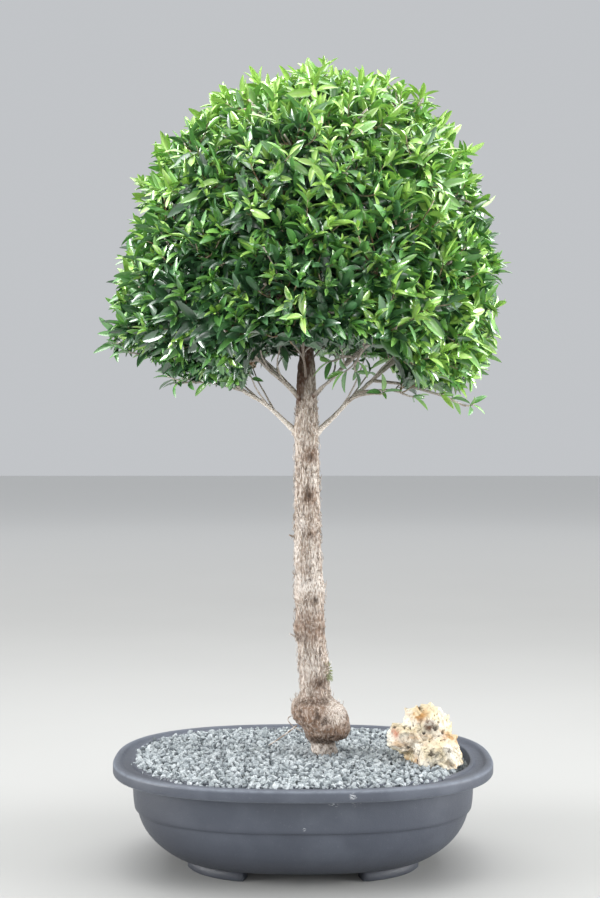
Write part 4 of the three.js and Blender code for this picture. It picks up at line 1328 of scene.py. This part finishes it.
rings = tube_rings(bough_paths, bough_radii, BOUGH.sides)
centres = bough_paths[:, :, None]
swell = 1 + BOUGH.relief * layered_noise(rings, BOUGH.relief_size, 2, SEEDS.bough_bark)
rings = centres + (rings - centres) * swell[..., None]
points, faces = closed_skins(rings)
wood = bough_finish()
shade = np.concatenate([np.repeat(bough_shade, BOUGH.sides, axis=1), bough_shade[:, [0, -1]]], axis=1)
boughs = new_piece("boughs_bark", points, faces, wood, "twig", shade=shade)
bough_nodes = [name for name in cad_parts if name.startswith("bough_")]
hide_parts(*bough_nodes)

# %% [markdown]
# ## Twigs and shoots
# From each hub, twigs spread to the outline. Their tips lie on a golden spiral over the crown, as in the
# CAD source, which leaves no side bare. The source stops at 90 twigs. Here each of those carries many finer
# shoots, whose tips lie on a spiral of their own, and more shoots fill the space behind them. A shoot
# leaves its twig below its own tip and curves outwards, as the side shoots of a clipped tree do. A few
# sprigs hang under the outline, and a few tufts that the shears have missed stand proud of it.

# %% Twigs
TWIG = Sizes(count=90, lowest=-0.62, inset=20, vary_inset=0.12, base_radius=1.7, tip_radius=0.8, bow=7,
             kink=2, kink_size=18, stations=12, sides=7, shade=0.2)
# Sprigs that hang under the outline: tip, number of the bough that carries it, share of that bough's run,
# and how many shoots it carries
SPRIGS = (
    ((146, -18, 424), 0, 0.5, 3),
    ((-112, -12, 444), 4, 0.55, 4),
    ((92, -14, 434), 0, 0.42, 1),
    ((70, -10, 434), 0, 0.3, 1),
    ((-72, -30, 448), 5, 0.6, 3),
    ((46, -52, 458), 7, 0.6, 3),
    ((30, -44, 464), 7, 0.45, 2),
    ((-166, -14, 480), 4, 1, 3),
    ((-146, -30, 470), 4, 0.94, 3),
)


def spiral_ways(count):
    """Directions on a golden spiral: heights evenly from 1 down to the lowest, each a golden turn on."""
    index = np.arange(count)
    up = blend(1, TWIG.lowest, (index + 0.5) / count)
    flat = np.sqrt(1 - up**2)
    return np.stack([flat * np.cos(index * GOLDEN_TURN), flat * np.sin(index * GOLDEN_TURN), up], axis=-1)


def outline_reach(ways):
    """Distance from the crown's middle to its outline: the inverse of the share that one step out has."""
    return 1 / outline_share(CROWN_MIDDLE + ways)


def above_arch(points):
    """Points lifted to the underside of the foliage where they lie below it."""
    lifted = points.copy()
    lifted[:, 2] = np.maximum(points[:, 2], arch_height(points) + CORE.margin)
    return lifted


def nearest(points, targets):
    """The number of the nearest target for each point."""
    return np.linalg.norm(points[:, None] - targets, axis=-1).argmin(axis=1)


def twig_curves():
    """Start, control and tip of each twig. Twigs start at the nearest hub, and the sprigs on their boughs;
    the control point lies over the middle, moved to any side."""
    ways = spiral_ways(TWIG.count)
    inset = TWIG.inset * (1 + TWIG.vary_inset * vary(np.arange(TWIG.count), 0))
    tips = above_arch(CROWN_MIDDLE + ways * (outline_reach(ways) - inset)[:, None])
    starts = hubs[nearest(tips, hubs)]
    last_station = bough_paths.shape[1] - 1
    sprig_tips, bough, share, _ = zip(*SPRIGS)
    sprig_starts = bough_paths[bough, np.rint(np.multiply(share, last_station)).astype(int)]
    tips = np.concatenate([sprig_tips, tips])
    starts = np.concatenate([sprig_starts, starts])
    number = np.arange(len(tips))
    bows = np.stack([vary(number, 1), vary(number, 2), np.ones(len(tips))], axis=-1)
    return starts, (starts + tips) / 2 + TWIG.bow * bows, tips


twig_starts, twig_controls, twig_tips = twig_curves()
stations = np.linspace(0, 1, TWIG.stations)
twig_paths = bezier(twig_starts[:, None], twig_controls[:, None], twig_tips[:, None], stations)
twig_radii = np.broadcast_to(blend(TWIG.base_radius, TWIG.tip_radius, stations), twig_paths.shape[:2])
bent_paths = kinked(twig_paths, TWIG.kink_size, TWIG.kink, SEEDS.twigs)
twig_rings = tube_rings(bent_paths, twig_radii, TWIG.sides)
points, faces = closed_skins(twig_rings)
twigs = new_piece("twigs_main", points, faces, wood, "twig", shade=np.full(len(points), TWIG.shade))
foliage_nodes = [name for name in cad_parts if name.startswith("foliage_")]
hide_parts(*foliage_nodes)

# %% Shoots
SHOOT = Sizes(outer=1350, inset=28, vary_inset=13, lumps=11, lump_size=40, run=24,
              lead=0.24, first=0.15, last=0.94, rise=0.55, wander=0.35,
              base_radius=0.8, tip_radius=0.42, kink=1.2, kink_size=12, stations=7, sides=5, seed=33)
INNER = Sizes(count=900, shares=(0.92, 0.66))
# Tips of shoots that the shears have missed, which stand proud of the outline
TUFTS = (
    (20, -6, 735),
    (58, -10, 721),
    (-42, -8, 720),
    (-80, -12, 700),
    (114, -10, 697),
    (-124, -14, 650),
    (142, -12, 650),
    (174, -10, 545),
    (-170, -12, 489),
    (10, 60, 725),
    (-60, 130, 650),
    (90, 120, 655),
)
dice = np.random.default_rng(SHOOT.seed)


def shoot_axis(starts, tips):
    """The way a shoot's tip points: half way between its own run and straight out of the crown, turned
    upwards a little, and then to any side."""
    outward = unit(tips - CROWN_MIDDLE) + [0, 0, SHOOT.rise]
    return unit(unit(tips - starts) + outward + SHOOT.wander * dice.normal(size=tips.shape))


def shoots_to(tips):
    """Start, control and tip of a shoot to each tip. It leaves the nearest twig below the point beside its
    own tip, and its control point lies a run back from the tip, so that it ends along its axis."""
    own = nearest(tips, twig_tips)
    line = twig_tips[own] - twig_starts[own]
    beside = ((tips - twig_starts[own]) * line).sum(axis=-1) / (line**2).sum(axis=-1)
    share = np.clip(beside - SHOOT.lead, SHOOT.first, SHOOT.last)
    starts = bezier(twig_starts[own], twig_controls[own], twig_tips[own], share)
    return starts, tips - SHOOT.run * shoot_axis(starts, tips), tips


ways = spiral_ways(SHOOT.outer)
surface = outline_reach(ways)
proud = dice.uniform(-1, 1, SHOOT.outer)
lumps = SHOOT.lumps * noise(CROWN_MIDDLE + ways * surface[:, None], SHOOT.lump_size, SEEDS.crown)
reach = surface - SHOOT.inset + SHOOT.vary_inset * proud + lumps
outer = shoots_to(above_arch(CROWN_MIDDLE + ways * reach[:, None]))
ways = spiral_ways(INNER.count)
depth = blend(*INNER.shares, dice.uniform(0, 1, INNER.count))
inner = shoots_to(above_arch(CROWN_MIDDLE + ways * (outline_reach(ways) * depth)[:, None]))
tufts = shoots_to(np.array(TUFTS, float))
print("shoots:", len(outer[2]), "outer,", len(inner[2]), "inner and", len(TUFTS), "proud")

# %% [markdown]
# Under the crown, thin side twigs leave the boughs to left and right and rise into the foliage, with a tuft
# of leaves at each end. They are what shows against the light in the arch, so they get a rule of their own:
# at set shares of a bough, alternately to one side and the other, at an angle between the bough's run and
# straight up.

# %% Side twigs of the boughs
SIDE_TWIG = Sizes(shares=(0.24, 0.33, 0.42, 0.51, 0.6, 0.7, 0.8), length=66, sideways=0.75, rise=0.45,
                  skirt=8, stout=1.35)
SPRIG_SHOOT = Sizes(first=0.65, length=15, sideways=0.8, rise=0.3)
OFFSHOOT = Sizes(vary_sideways=0.5, vary_length=0.35, follow=0.35, lift=0.05)
SHOOT_TINTS = Sizes(brown=colour(0x7a5a3c), pale=colour(0xb3a58e))


def offshoots(starts, tangents, sizes):
    """Start, control and tip of side shoots: start + length (tangent + side + rise), alternating from side
    to side, each with its own length and angle. The control point follows the tangent first."""
    number = np.arange(len(starts))
    side = unit(np.cross([0, 0, 1], tangents)) * np.where(number % 2, 1, -1)[:, None]
    rise = sizes.rise * (1 + vary(number, 0))[:, None]
    sideways = sizes.sideways * (1 + OFFSHOOT.vary_sideways * vary(number, 2))[:, None]
    length = sizes.length * (1 + OFFSHOOT.vary_length * vary(number, 1))[:, None]
    way = unit(tangents + sideways * side + rise * [0, 0, 1])
    controls = starts + (tangents * OFFSHOOT.follow + [0, 0, OFFSHOOT.lift]) * length
    return starts, controls, starts + way * length


stations = (np.array(SIDE_TWIG.shares) * (bough_paths.shape[1] - 1)).astype(int)
bough_ways = unit(np.gradient(bough_paths, axis=1))
skirt = np.s_[: SIDE_TWIG.skirt, stations]
on_boughs = offshoots(bough_paths[skirt].reshape(-1, 3), bough_ways[skirt].reshape(-1, 3), SIDE_TWIG)
shoot_counts = [count for _, _, _, count in SPRIGS]
sprig = np.repeat(np.arange(len(SPRIGS)), shoot_counts)
shares = np.concatenate([np.linspace(1, SPRIG_SHOOT.first, count) for count in shoot_counts])
stations = np.rint(shares * (twig_paths.shape[1] - 1)).astype(int)
sprig_ways = unit(np.gradient(twig_paths[: len(SPRIGS)], axis=1))
on_sprigs = offshoots(twig_paths[sprig, stations], sprig_ways[sprig, stations], SPRIG_SHOOT)
side = [np.concatenate(parts) for parts in zip(on_boughs, on_sprigs)]
families = (outer, inner, side, tufts)
starts, controls, tips = (np.concatenate(parts) for parts in zip(*families))
OUTER, INSIDE, BESIDE, TUFT = range(4)
kind = np.repeat([OUTER, INSIDE, BESIDE, TUFT], [len(family[0]) for family in families])
stations = np.linspace(0, 1, SHOOT.stations)
paths = bezier(starts[:, None], controls[:, None], tips[:, None], stations)
radii = np.broadcast_to(blend(SHOOT.base_radius, SHOOT.tip_radius, stations), paths.shape[:2])


def shoot_tubes(chosen, stout=1):
    """Points and faces of the chosen shoots, as tubes with a multiple of the usual radius."""
    bent = kinked(paths, SHOOT.kink_size, SHOOT.kink, SEEDS.shoots)
    return closed_skins(tube_rings(bent, stout * radii, SHOOT.sides)[chosen])


def shoot_finish():
    """Two browns mixed by one noise."""
    finish, sockets, place = new_finish("shoot bark", roughness=0.7)
    streak = place.grain(300, 4).between(0.35, 0.65)
    place.feed(sockets["Base Color"], streak.tint(SHOOT_TINTS.brown, SHOOT_TINTS.pale))
    place.feed(sockets["Normal"], place.grain(1200, 3).bump(depth=0.0003))
    return finish


points, faces = shoot_tubes(kind != BESIDE)
shoots = new_piece("twigs_shoots", points, faces, shoot_finish(), "twig")
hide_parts(*foliage_nodes)
points, faces = shoot_tubes(kind == BESIDE, SIDE_TWIG.stout)
side_shoots = new_piece("twigs_side", points, faces, wood, "twig", shade=np.full(len(points), TWIG.shade))
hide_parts(*foliage_nodes)

# %% [markdown]
# ## Leaves
# The leaves are glossy, folded a little along the midrib, and set in opposite pairs, each pair crossed with
# the one below. Young pairs at the tip are small, bright and upright; older ones lie further out and
# darken. A leaf is a strip of 3 points across and 5 along with a point at each end, and all leaves are
# worked out at once as one array.

# %% One leaf and all leaves
LEAF = Sizes(length=20, vary_length=0.35, on_side_twig=0.8, low=1.12, high=0.9, vary_lean=0.16,
             fold=0.6, curl=0.42, vary_curl=0.6, skyward=0.55, roll=0.45)
LEAF_ALONG = np.array([0.09, 0.28, 0.5, 0.74, 0.91])
LEAF_WIDTHS = np.array([0.28, 0.82, 1.0, 0.8, 0.42])
LEAF_ACROSS = np.array([-1, 0, 1])


def leaf_faces():
    """Faces of one leaf: 8 quads on the grid of 5 x 3 points, and 2 triangles to the root and to the tip.
    The root is point 0, the grid runs from 1 to 15, and the tip is point 16."""
    row, column = np.meshgrid(np.arange(4), np.arange(2), indexing="ij")
    first = 1 + 3 * row + column
    quads = np.stack([first, first + 3, first + 4, first + 1], axis=-1).reshape(-1, 4)
    near = np.arange(1, 3)
    root_fan = np.stack([np.zeros(2, int), near, near + 1], axis=-1)
    tip_fan = np.stack([near + 12, np.full(2, 16), near + 13], axis=-1)
    return [quads, np.concatenate([root_fan, tip_fan])]


def leaf_points(roots, directions, uppers, lengths, half_widths, curls):
    """Points of many leaves. Along a leaf the midrib is an arc of curl c and length L at share u:
    out = L sin(c u) / c and drop = L (1 - cos(c u)) / c. Across it, the fold tilts the two halves up."""
    side = unit(np.cross(uppers, directions))
    face = np.cross(directions, side)
    along = np.concatenate([[0], np.repeat(LEAF_ALONG, len(LEAF_ACROSS)), [1]])
    across = np.concatenate([[0], (LEAF_WIDTHS[:, None] * LEAF_ACROSS).ravel(), [0]])
    bend = curls[:, None] * along
    out = lengths[:, None] * np.sin(bend) / curls[:, None]
    drop = lengths[:, None] * (1 - np.cos(bend)) / curls[:, None]
    wide = (lengths * half_widths)[:, None] * across
    local = np.stack([out, wide * math.cos(LEAF.fold), np.abs(wide) * math.sin(LEAF.fold) - drop], axis=-1)
    return roots[:, None] + local @ np.stack([directions, side, face], axis=1)


print("faces of one leaf:", sum(len(group) for group in leaf_faces()))

# %% Sprays of leaves
# Pairs of a shoot, from its tip down: distance from the tip, share of the full length, lean off the shoot,
# half width as a share of the length, and how much older than the shoot the pair is
PAIRS = np.array([
    (0, 0.5, 0.3, 0.21, -1.9),
    (0.8, 0.6, 0.75, 0.2, -1.8),
    (2, 0.75, 1.1, 0.19, -1.5),
    (5, 1.0, 0.4, 0.15, -0.6),
    (9, 1.05, 0.85, 0.17, 0.2),
    (15, 1.1, 1.1, 0.17, 0.7),
    (22, 1.05, 1.25, 0.175, 1.0),
    (29, 1.0, 1.35, 0.175, 1.2),
])
ROSETTE = 3  # pairs of small young leaves at the tip of a shoot that reaches the light
SIDE_PAIRS = 5  # pairs on a side twig
LEANS = np.array([1, 1.35, 0.7, 0.4])  # multiples of its lean that a leaf tries until one fits
LEAF_ROOM = Sizes(outline=1.0, ragged=0.09, ragged_size=20, below_arch=4, ragged_arch=9, trunk=4, bough=3)
STATION_STEP = 3  # boughs are kept clear at every third station


def free_of_limbs(points):
    """True where points keep off the trunk and off the boughs by more than the room they need."""
    axis = trunk_axis(np.minimum(points[..., 2], TRUNK.tip))
    room = np.interp(points[..., 2], TAPER.heights, TAPER.radii) + LEAF_ROOM.trunk
    free = (np.linalg.norm((points - axis)[..., :2], axis=-1) > room) | (points[..., 2] > TRUNK.tip)
    for path, radius in zip(bough_paths, bough_radii):
        gap = np.linalg.norm(points[..., None, :] - path[::STATION_STEP], axis=-1)
        gap = gap - radius[::STATION_STEP]
        free &= gap.min(axis=-1) > LEAF_ROOM.bough
    return free


def crown_height(points):
    """0 at the crown's widest ring and 1 at its top."""
    return (points[..., 2] - CROWN.waist) / CROWN.dome


def sprays(starts, controls, tips, kind):
    """Root, direction, upper side, length, half width, how much older it is in its spray, and spray number of
    every leaf.
    Leaves turn half way round from each other in a pair, and a quarter from pair to pair. Each takes the
    first lean that keeps its tip in the crown, whose limit a noise makes ragged, and off the limbs, and is
    left out where none does. Its upper side faces along the shoot and skywards."""
    number = np.arange(len(tips))
    grids = np.meshgrid(number, np.arange(len(PAIRS)), [0, 1], indexing="ij")
    spray, pair, half = (grid.ravel() for grid in grids)
    back, share, lean, half_width, older = PAIRS[pair].T
    run = np.linalg.norm(tips - controls, axis=-1)[spray]
    at = 1 - back / (2 * run)
    roots = bezier(starts[spray], controls[spray], tips[spray], at)
    way = unit(blend(controls[spray] - starts[spray], tips[spray] - controls[spray], at[:, None]))
    level = unit(np.cross([0, 0, 1], way) + [TINY, 0, 0])
    turn = math.pi * (half + pair / 2) + dice.uniform(0, 2 * math.pi, len(tips))[spray]
    outward = level * np.cos(turn)[:, None] + np.cross(way, level) * np.sin(turn)[:, None]
    size = blend(LEAF.low, LEAF.high, np.clip(crown_height(tips), 0, 1))
    size = size * np.where(kind == BESIDE, LEAF.on_side_twig, 1)
    lengths = LEAF.length * share * size[spray] * (1 + LEAF.vary_length * dice.uniform(-1, 1, len(spray)))
    tilt = (lean + LEAF.vary_lean * dice.normal(size=len(spray)))[:, None] * LEANS
    direction = way[:, None] * np.cos(tilt)[..., None] + outward[:, None] * np.sin(tilt)[..., None]
    ends = roots[:, None] + direction * lengths[:, None, None]
    loose = np.isin(kind[spray], (BESIDE, TUFT))[:, None]
    ragged = noise(ends, LEAF_ROOM.ragged_size, SEEDS.leaves)
    fits = (outline_share(ends) < LEAF_ROOM.outline + LEAF_ROOM.ragged * ragged) | loose
    underside = arch_height(ends) - LEAF_ROOM.below_arch - LEAF_ROOM.ragged_arch * ragged
    fits &= (ends[..., 2] > underside) | loose
    fits &= free_of_limbs(ends) & free_of_limbs((ends + roots[:, None]) / 2)
    kept = fits.any(axis=1) & ((kind[spray] != BESIDE) | (pair < SIDE_PAIRS))
    kept &= np.isin(kind[spray], (OUTER, TUFT)) | (pair >= ROSETTE)
    chosen = direction[np.arange(len(roots)), fits.argmax(axis=1)]
    uppers = unit(way + LEAF.skyward * np.array([0, 0, 1]) + LEAF.roll * dice.normal(size=way.shape))
    return [part[kept] for part in (roots, chosen, uppers, lengths, half_width, older, spray)]


*leaf_places, older, spray = sprays(starts, controls, tips, kind)
curls = LEAF.curl * (1 + LEAF.vary_curl * dice.uniform(-1, 1, len(spray)))
leaves = leaf_points(*leaf_places, curls)
print("leaves:", len(leaves))

# %% [markdown]
# Colour tells the age of a leaf, and it also carries painted light and shade. Young sprays on top are
# yellow-green, young and also painted lighter as if lit from above, the body of the crown is a clear mid
# green, and old leaves inside are dark, also as painted shade. The front and the back of the crown are given
# older, darker tints than its two sides, as painted shade, and their right half younger, lighter ones than
# their left, as painted light. The tints are dealt out by spray and by age in the spray, and each tint is
# joined into pieces with its own plain green, a paler midrib and a waxy coat, thinner on young leaves, which
# gives the white sheen of the sky.

# %% Tints and leaf pieces
# Tints from young to old, which also run from painted light to painted shade: piece, colour, and weight of
# the waxy coat
LEAF_TINTS = (
    ("leaves_young", 0x9fcd5e, 0.75),
    ("leaves_fresh", 0x7db854, 0.9),
    ("leaves_mid", 0x5a9649, 1),
    ("leaves_deep", 0x447645, 1),
    ("leaves_old", 0x315b37, 1),
)
# Age of a spray, counted in tints, which also paints light and shade: what it is at the side, how it falls
# towards the top, partly as painted light, how it grows to the front and back as painted shade and falls to
# the right there as painted light, how it varies, and how inner sprays, darker also as painted shade, and
# proud sprays differ
LEAF_AGE_AND_LIGHT = Sizes(side=1.45, top=3.0, power=2.5, front=1.0, least=0.45, right=1.6, spread=0.45,
            patch=0.6, patch_size=60, inner=1.3, proud=0.6)
WAX = Sizes(coat_roughness=0.27, coat_index=2.0, roughness=0.42)
LEAF_SHADES = Sizes(dark=(0.72, 0.78, 0.8, 1), rib=(1.5, 1.25, 1.3, 1), rib_strength=0.5)
MOST_LEAVES = 9500  # in one piece


def leaf_finish(name, code, wax):
    """One green, mottled with a darker one and paler on the midrib, under a coat of wax."""
    finish, sockets, place = new_finish(name, WAX.roughness)
    base = np.array(colour(code))
    dark = tuple(base * LEAF_SHADES.dark)
    pale = tuple(np.minimum(base * LEAF_SHADES.rib, 1))
    body = place.grain(90, 3).between(0.35, 0.65).tint(dark, tuple(base))
    place.feed(sockets["Base Color"], (place.read("rib") * LEAF_SHADES.rib_strength).tint(body, pale))
    place.feed(sockets["Normal"], place.grain(500, 2).bump(depth=0.0003))
    sockets["Coat Weight"].default_value = wax
    sockets["Coat Roughness"].default_value = WAX.coat_roughness
    sockets["Coat IOR"].default_value = WAX.coat_index
    return finish


def leaf_piece(name, leaves, finish):
    """One joined piece of leaves, with an attribute that is 1 on the midribs."""
    on_rib = np.concatenate([[1], np.tile(LEAF_ACROSS == 0, len(LEAF_ALONG)), [1]])
    faces = [repeated(group, len(leaves), leaves.shape[1]) for group in leaf_faces()]
    rib = np.tile(on_rib, len(leaves))
    return new_piece(name, leaves.reshape(-1, 3), faces, finish, "foliage", rib=rib)


# lighter towards the top, both by age and as painted light from above
age_and_light = LEAF_AGE_AND_LIGHT.side - LEAF_AGE_AND_LIGHT.top * np.maximum(crown_height(tips), 0) ** LEAF_AGE_AND_LIGHT.power
age_and_light += LEAF_AGE_AND_LIGHT.patch * noise(tips, LEAF_AGE_AND_LIGHT.patch_size, SEEDS.ages)
# inner sprays are older and are also darker as painted shade
age_and_light += LEAF_AGE_AND_LIGHT.spread * dice.normal(size=len(tips)) + LEAF_AGE_AND_LIGHT.inner * (kind == INSIDE)
# older, darker tints to the front and back as painted shade, and younger, lighter ones to the right as
# painted light
away = unit(tips - CROWN_MIDDLE)
facing = np.abs(away[:, 1])
age_and_light += LEAF_AGE_AND_LIGHT.front * np.maximum(facing, LEAF_AGE_AND_LIGHT.least) - LEAF_AGE_AND_LIGHT.right * away[:, 0] * facing
age_and_light[: SHOOT.outer] -= LEAF_AGE_AND_LIGHT.proud * proud
tint_of = np.clip(np.rint(age_and_light[spray] + older), 0, len(LEAF_TINTS) - 1)
finishes = [leaf_finish(*tint) for tint in LEAF_TINTS]
for number, (name, *_) in enumerate(LEAF_TINTS):
    chosen = leaves[tint_of == number]
    for part, share in enumerate(np.array_split(chosen, math.ceil(len(chosen) / MOST_LEAVES))):
        piece = leaf_piece(f"{name}_{part + 1}", share, finishes[number])
        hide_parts(*foliage_nodes)

# %% [markdown]
# One small sprout of dull green grows on the trunk's right side above the burl. It is a tuft of the same
# leaves, only a few millimetres long and olive, spread from one spot on the bark.

# %% Sprout on the trunk
SPROUT = Sizes(angle=-0.4, vary_angle=0.3, height=175, vary_height=7, sunk=0.5,
               count=30, length=5, vary_length=0.3, half_width=0.17, spread=0.9, tint=0x707b47, wax=0.2)
number = np.arange(SPROUT.count)
angle = SPROUT.angle + SPROUT.vary_angle * vary(number, 0)
height = SPROUT.height + SPROUT.vary_height * vary(number, 1)
outward = np.stack([np.cos(angle), np.sin(angle), 0 * angle], axis=-1)
spots = trunk_axis(height) + outward * (trunk_radius(angle, height) - SPROUT.sunk)[:, None]
ways = unit(outward + SPROUT.spread * np.stack([vary(number, axis) for axis in (2, 0, 1)], axis=-1))
sizes = SPROUT.length * (1 + SPROUT.vary_length * vary(number, 2))
half_widths = np.full(SPROUT.count, SPROUT.half_width)
curls = np.full(SPROUT.count, LEAF.curl)
tuft = leaf_points(spots, ways, unit(outward + [0, 0, 1]), sizes, half_widths, curls)
sprout = leaf_piece("trunk_sprout", tuft, leaf_finish("sprout", SPROUT.tint, SPROUT.wax))
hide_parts("trunk")

# %% [markdown]
# ## Floor and light
# A pale floor and soft light from large panels show the gloss of the leaves without hard shadows. The floor
# is grey round the pot, so that it throws little light up under the crown, and paler far away. The widest
# panel is the sky over the tree. Two more stand at the right and at the left and are narrowed to the crown,
# as a grid on a studio lamp does, because the sides of the crown are lighter than its middle. A weak one in
# front fills the shade on the pot and the rock.

# %% Floor, panels and sky
FLOOR_HALF = 9000
FLOOR_TINTS = Sizes(near=colour(0xa3a3a1), worn=colour(0xa8a8a6), far=colour(0xe4e4e2), reach=4200)
# Panels: place, size, power in watts, the spread of the light in degrees, and the height it is aimed at
PANELS = (
    ((0, 250, 2300), 3000, 107, 180, 570),
    ((1750, -400, 800), 1200, 9.8, 60, 550),
    ((-1750, -380, 760), 1000, 7, 50, 540),
    ((150, -1300, 350), 900, 0.55, 44, 130),
)
WORLD = Sizes(tint=colour(0xe9ecf0), strength=0.66)


def floor_finish():
    """Two close greys mixed by broad noise, and a paler one far from the pot."""
    finish, sockets, place = new_finish("floor", roughness=0.8)
    body = place.grain(3, 2).tint(FLOOR_TINTS.near, FLOOR_TINTS.worn)
    close = place.near((0, 0, 0), FLOOR_TINTS.reach)
    place.feed(sockets["Base Color"], close.tint(FLOOR_TINTS.far, body))
    return finish


def light_panel(number, spot, size, power, spread, height):
    """A square panel at a spot, turned so that it faces the plant's middle at a height. A narrow spread
    keeps its light to the crown or to the pot."""
    panel = bpy.data.lights.new(f"panel_{number}", "AREA")
    panel.size = size * MM
    panel.energy = power
    panel.spread = math.radians(spread)
    lamp = bpy.data.objects.new(panel.name, panel)
    lamp.location = np.multiply(spot, MM)
    aim = np.subtract((0, 0, height), spot)
    across = math.hypot(aim[0], aim[1])
    lamp.rotation_euler = (math.atan2(across, -aim[2]), 0, math.atan2(aim[1], aim[0]) - math.pi / 2)
    bpy.context.scene.collection.objects.link(lamp)


floor_mesh = bpy.data.meshes.new("floor")
edge = FLOOR_HALF * MM
floor_corners = [(-edge, -edge, 0), (edge, -edge, 0), (edge, edge, 0), (-edge, edge, 0)]
floor_mesh.from_pydata(floor_corners, [], [(0, 1, 2, 3)])
floor_mesh.materials.append(floor_finish())
floor = bpy.data.objects.new("floor", floor_mesh)
bpy.context.scene.collection.objects.link(floor)
floor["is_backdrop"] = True
for number, panel in enumerate(PANELS):
    light_panel(number, *panel)
world = bpy.data.worlds.new("studio")
world.use_nodes = True
background = world.node_tree.nodes["Background"].inputs
background["Color"].default_value = WORLD.tint
background["Strength"].default_value = WORLD.strength
bpy.context.scene.world = world
bpy.context.scene.view_settings.view_transform = "Standard"
print("light panels:", len(PANELS))

# %% [markdown]
# ## Size
# Both boxes, the CAD model's and the finished piece's, are printed, so that their sizes can be compared.

# %% Sizes of both boxes
seen_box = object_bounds()
sizes = {"cad": [list(corner) for corner in cad_box], "visual": [list(corner) for corner in seen_box]}
print("CAD box", np.round(sizes["cad"], 4).tolist(), "visual box", np.round(sizes["visual"], 4).tolist())
